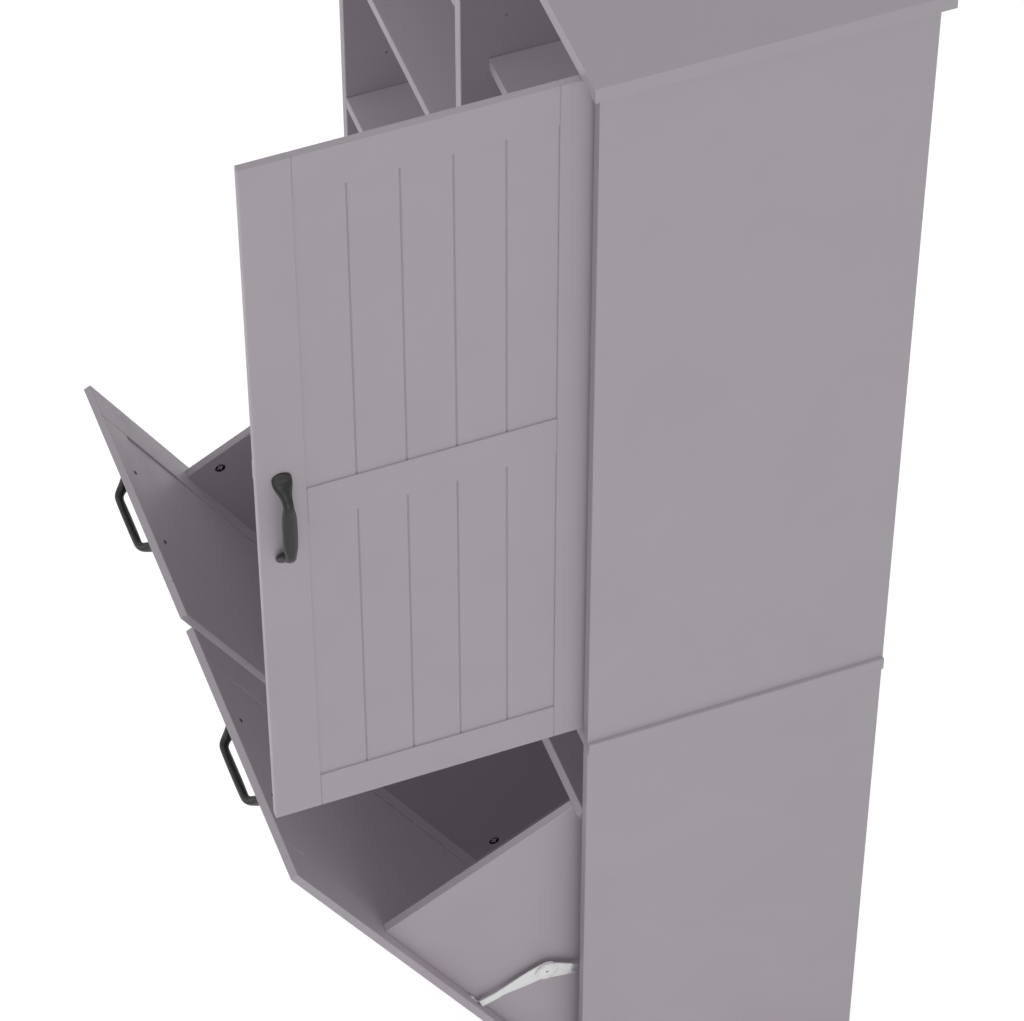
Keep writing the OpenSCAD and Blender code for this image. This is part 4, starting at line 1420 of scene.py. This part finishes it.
LAMPS = (
    Lamp("side_lamp", 80.0, 7.0, 43.0),
    Lamp("front_lamp", -10.0, 7.0, 67.0),
    Lamp("side_fill", 90.0, 5.0, 16.0, casts=False),
    Lamp("rear_fill", 180.0, 30.0, 70.0, casts=False),
    Lamp("high_fill", 69.6, 50.0, 50.0, away=6.0, size=3.0, casts=False),
    Lamp("top_fill", 0.0, 88.0, 8.0, casts=False),
)


@dataclass
class Studio:
    """The pale floor, the plain soft light and the camera."""

    camera_at: Point = (3.9056, -1.5824, 5.7038)
    azimuth: float = 69.599
    elevation: float = 49.758
    sensor: float = 36.0
    lens: float = 174.071
    far: float = 100.0
    floor_half: float = 40.0
    floor_gray: float = 0.8
    floor_lift: float = 0.45
    sky: float = 0.50

    def build(self) -> None:
        """Builds the floor, the world, the lamps and the camera."""
        self.build_floor()
        self.build_world()
        for lamp in LAMPS:
            lamp.build()
        self.build_camera()
        bpy.context.scene.view_settings.view_transform = "Standard"

    @staticmethod
    def seen(tree: bpy.types.NodeTree) -> Socket:
        """Adds a test of whether a ray comes from the camera or through a gloss or glass.

        Args:
            tree: The node tree.

        Returns:
            1 for such a ray, else 0.
        """
        path = tree.nodes.new("ShaderNodeLightPath")
        total = path.outputs["Is Camera Ray"]
        for name in ("Is Glossy Ray", "Is Transmission Ray"):
            node = tree.nodes.new("ShaderNodeMath")
            node.operation = "MAXIMUM"
            tree.links.new(total, node.inputs[0])
            tree.links.new(path.outputs[name], node.inputs[1])
            total = node.outputs["Value"]
        return total

    def build_floor(self) -> None:
        """Builds the floor, which looks white but keeps the cabinet's soft shadow."""
        bm = bmesh.new()
        bmesh.ops.create_grid(bm, x_segments=1, y_segments=1, size=self.floor_half)
        mesh = bpy.data.meshes.new("floor")
        bm.to_mesh(mesh)
        bm.free()
        floor = bpy.data.objects.new("floor", mesh)
        bpy.context.scene.collection.objects.link(floor)
        material = bpy.data.materials.new("floor_white")
        material.use_nodes = True
        tree = material.node_tree
        shader = tree.nodes["Principled BSDF"]
        for name, value in (
            ("Base Color", (*[self.floor_gray] * 3, 1.0)), ("Roughness", 0.9), ("Specular IOR Level", 0.0),
            ("Emission Color", (1.0, 1.0, 1.0, 1.0)),
        ):
            shader.inputs[name].default_value = value
        lift = tree.nodes.new("ShaderNodeMath")
        lift.operation = "MULTIPLY"
        tree.links.new(self.seen(tree), lift.inputs[0])
        lift.inputs[1].default_value = self.floor_lift
        tree.links.new(lift.outputs["Value"], shader.inputs["Emission Strength"])
        mesh.materials.append(material)

    def build_world(self) -> None:
        """Builds a plain dome that looks white."""
        world = bpy.data.worlds.new("studio")
        bpy.context.scene.world = world
        world.use_nodes = True
        tree = world.node_tree
        shade = tree.nodes["Background"]
        shade.inputs["Color"].default_value = (1.0, 1.0, 1.0, 1.0)
        level = tree.nodes.new("ShaderNodeMapRange")
        tree.links.new(self.seen(tree), level.inputs["Value"])
        level.inputs["To Min"].default_value = self.sky
        level.inputs["To Max"].default_value = 1.0
        tree.links.new(level.outputs["Result"], shade.inputs["Strength"])

    def build_camera(self) -> None:
        """Builds the camera."""
        data = bpy.data.cameras.new("camera")
        data.sensor_width = self.sensor
        data.lens = self.lens
        data.clip_end = self.far
        camera = bpy.data.objects.new("camera", data)
        camera.location = self.camera_at
        camera.rotation_euler = (math.radians(90 - self.elevation), 0.0, math.radians(self.azimuth))
        bpy.context.scene.collection.objects.link(camera)
        bpy.context.scene.camera = camera


def main() -> None:
    """Builds the cabinet's looks in order."""
    logging.basicConfig(level=logging.INFO, format="%(message)s")
    shop = Workshop()
    shop.dress_frame()
    door = Door(shop)
    door.build()
    Fittings(shop, door).build()
    for side in Side:
        Hamper.of(shop, side).build()
        Stays(shop, side).build()
    Studio().build()


if __name__ == "__main__":
    main()
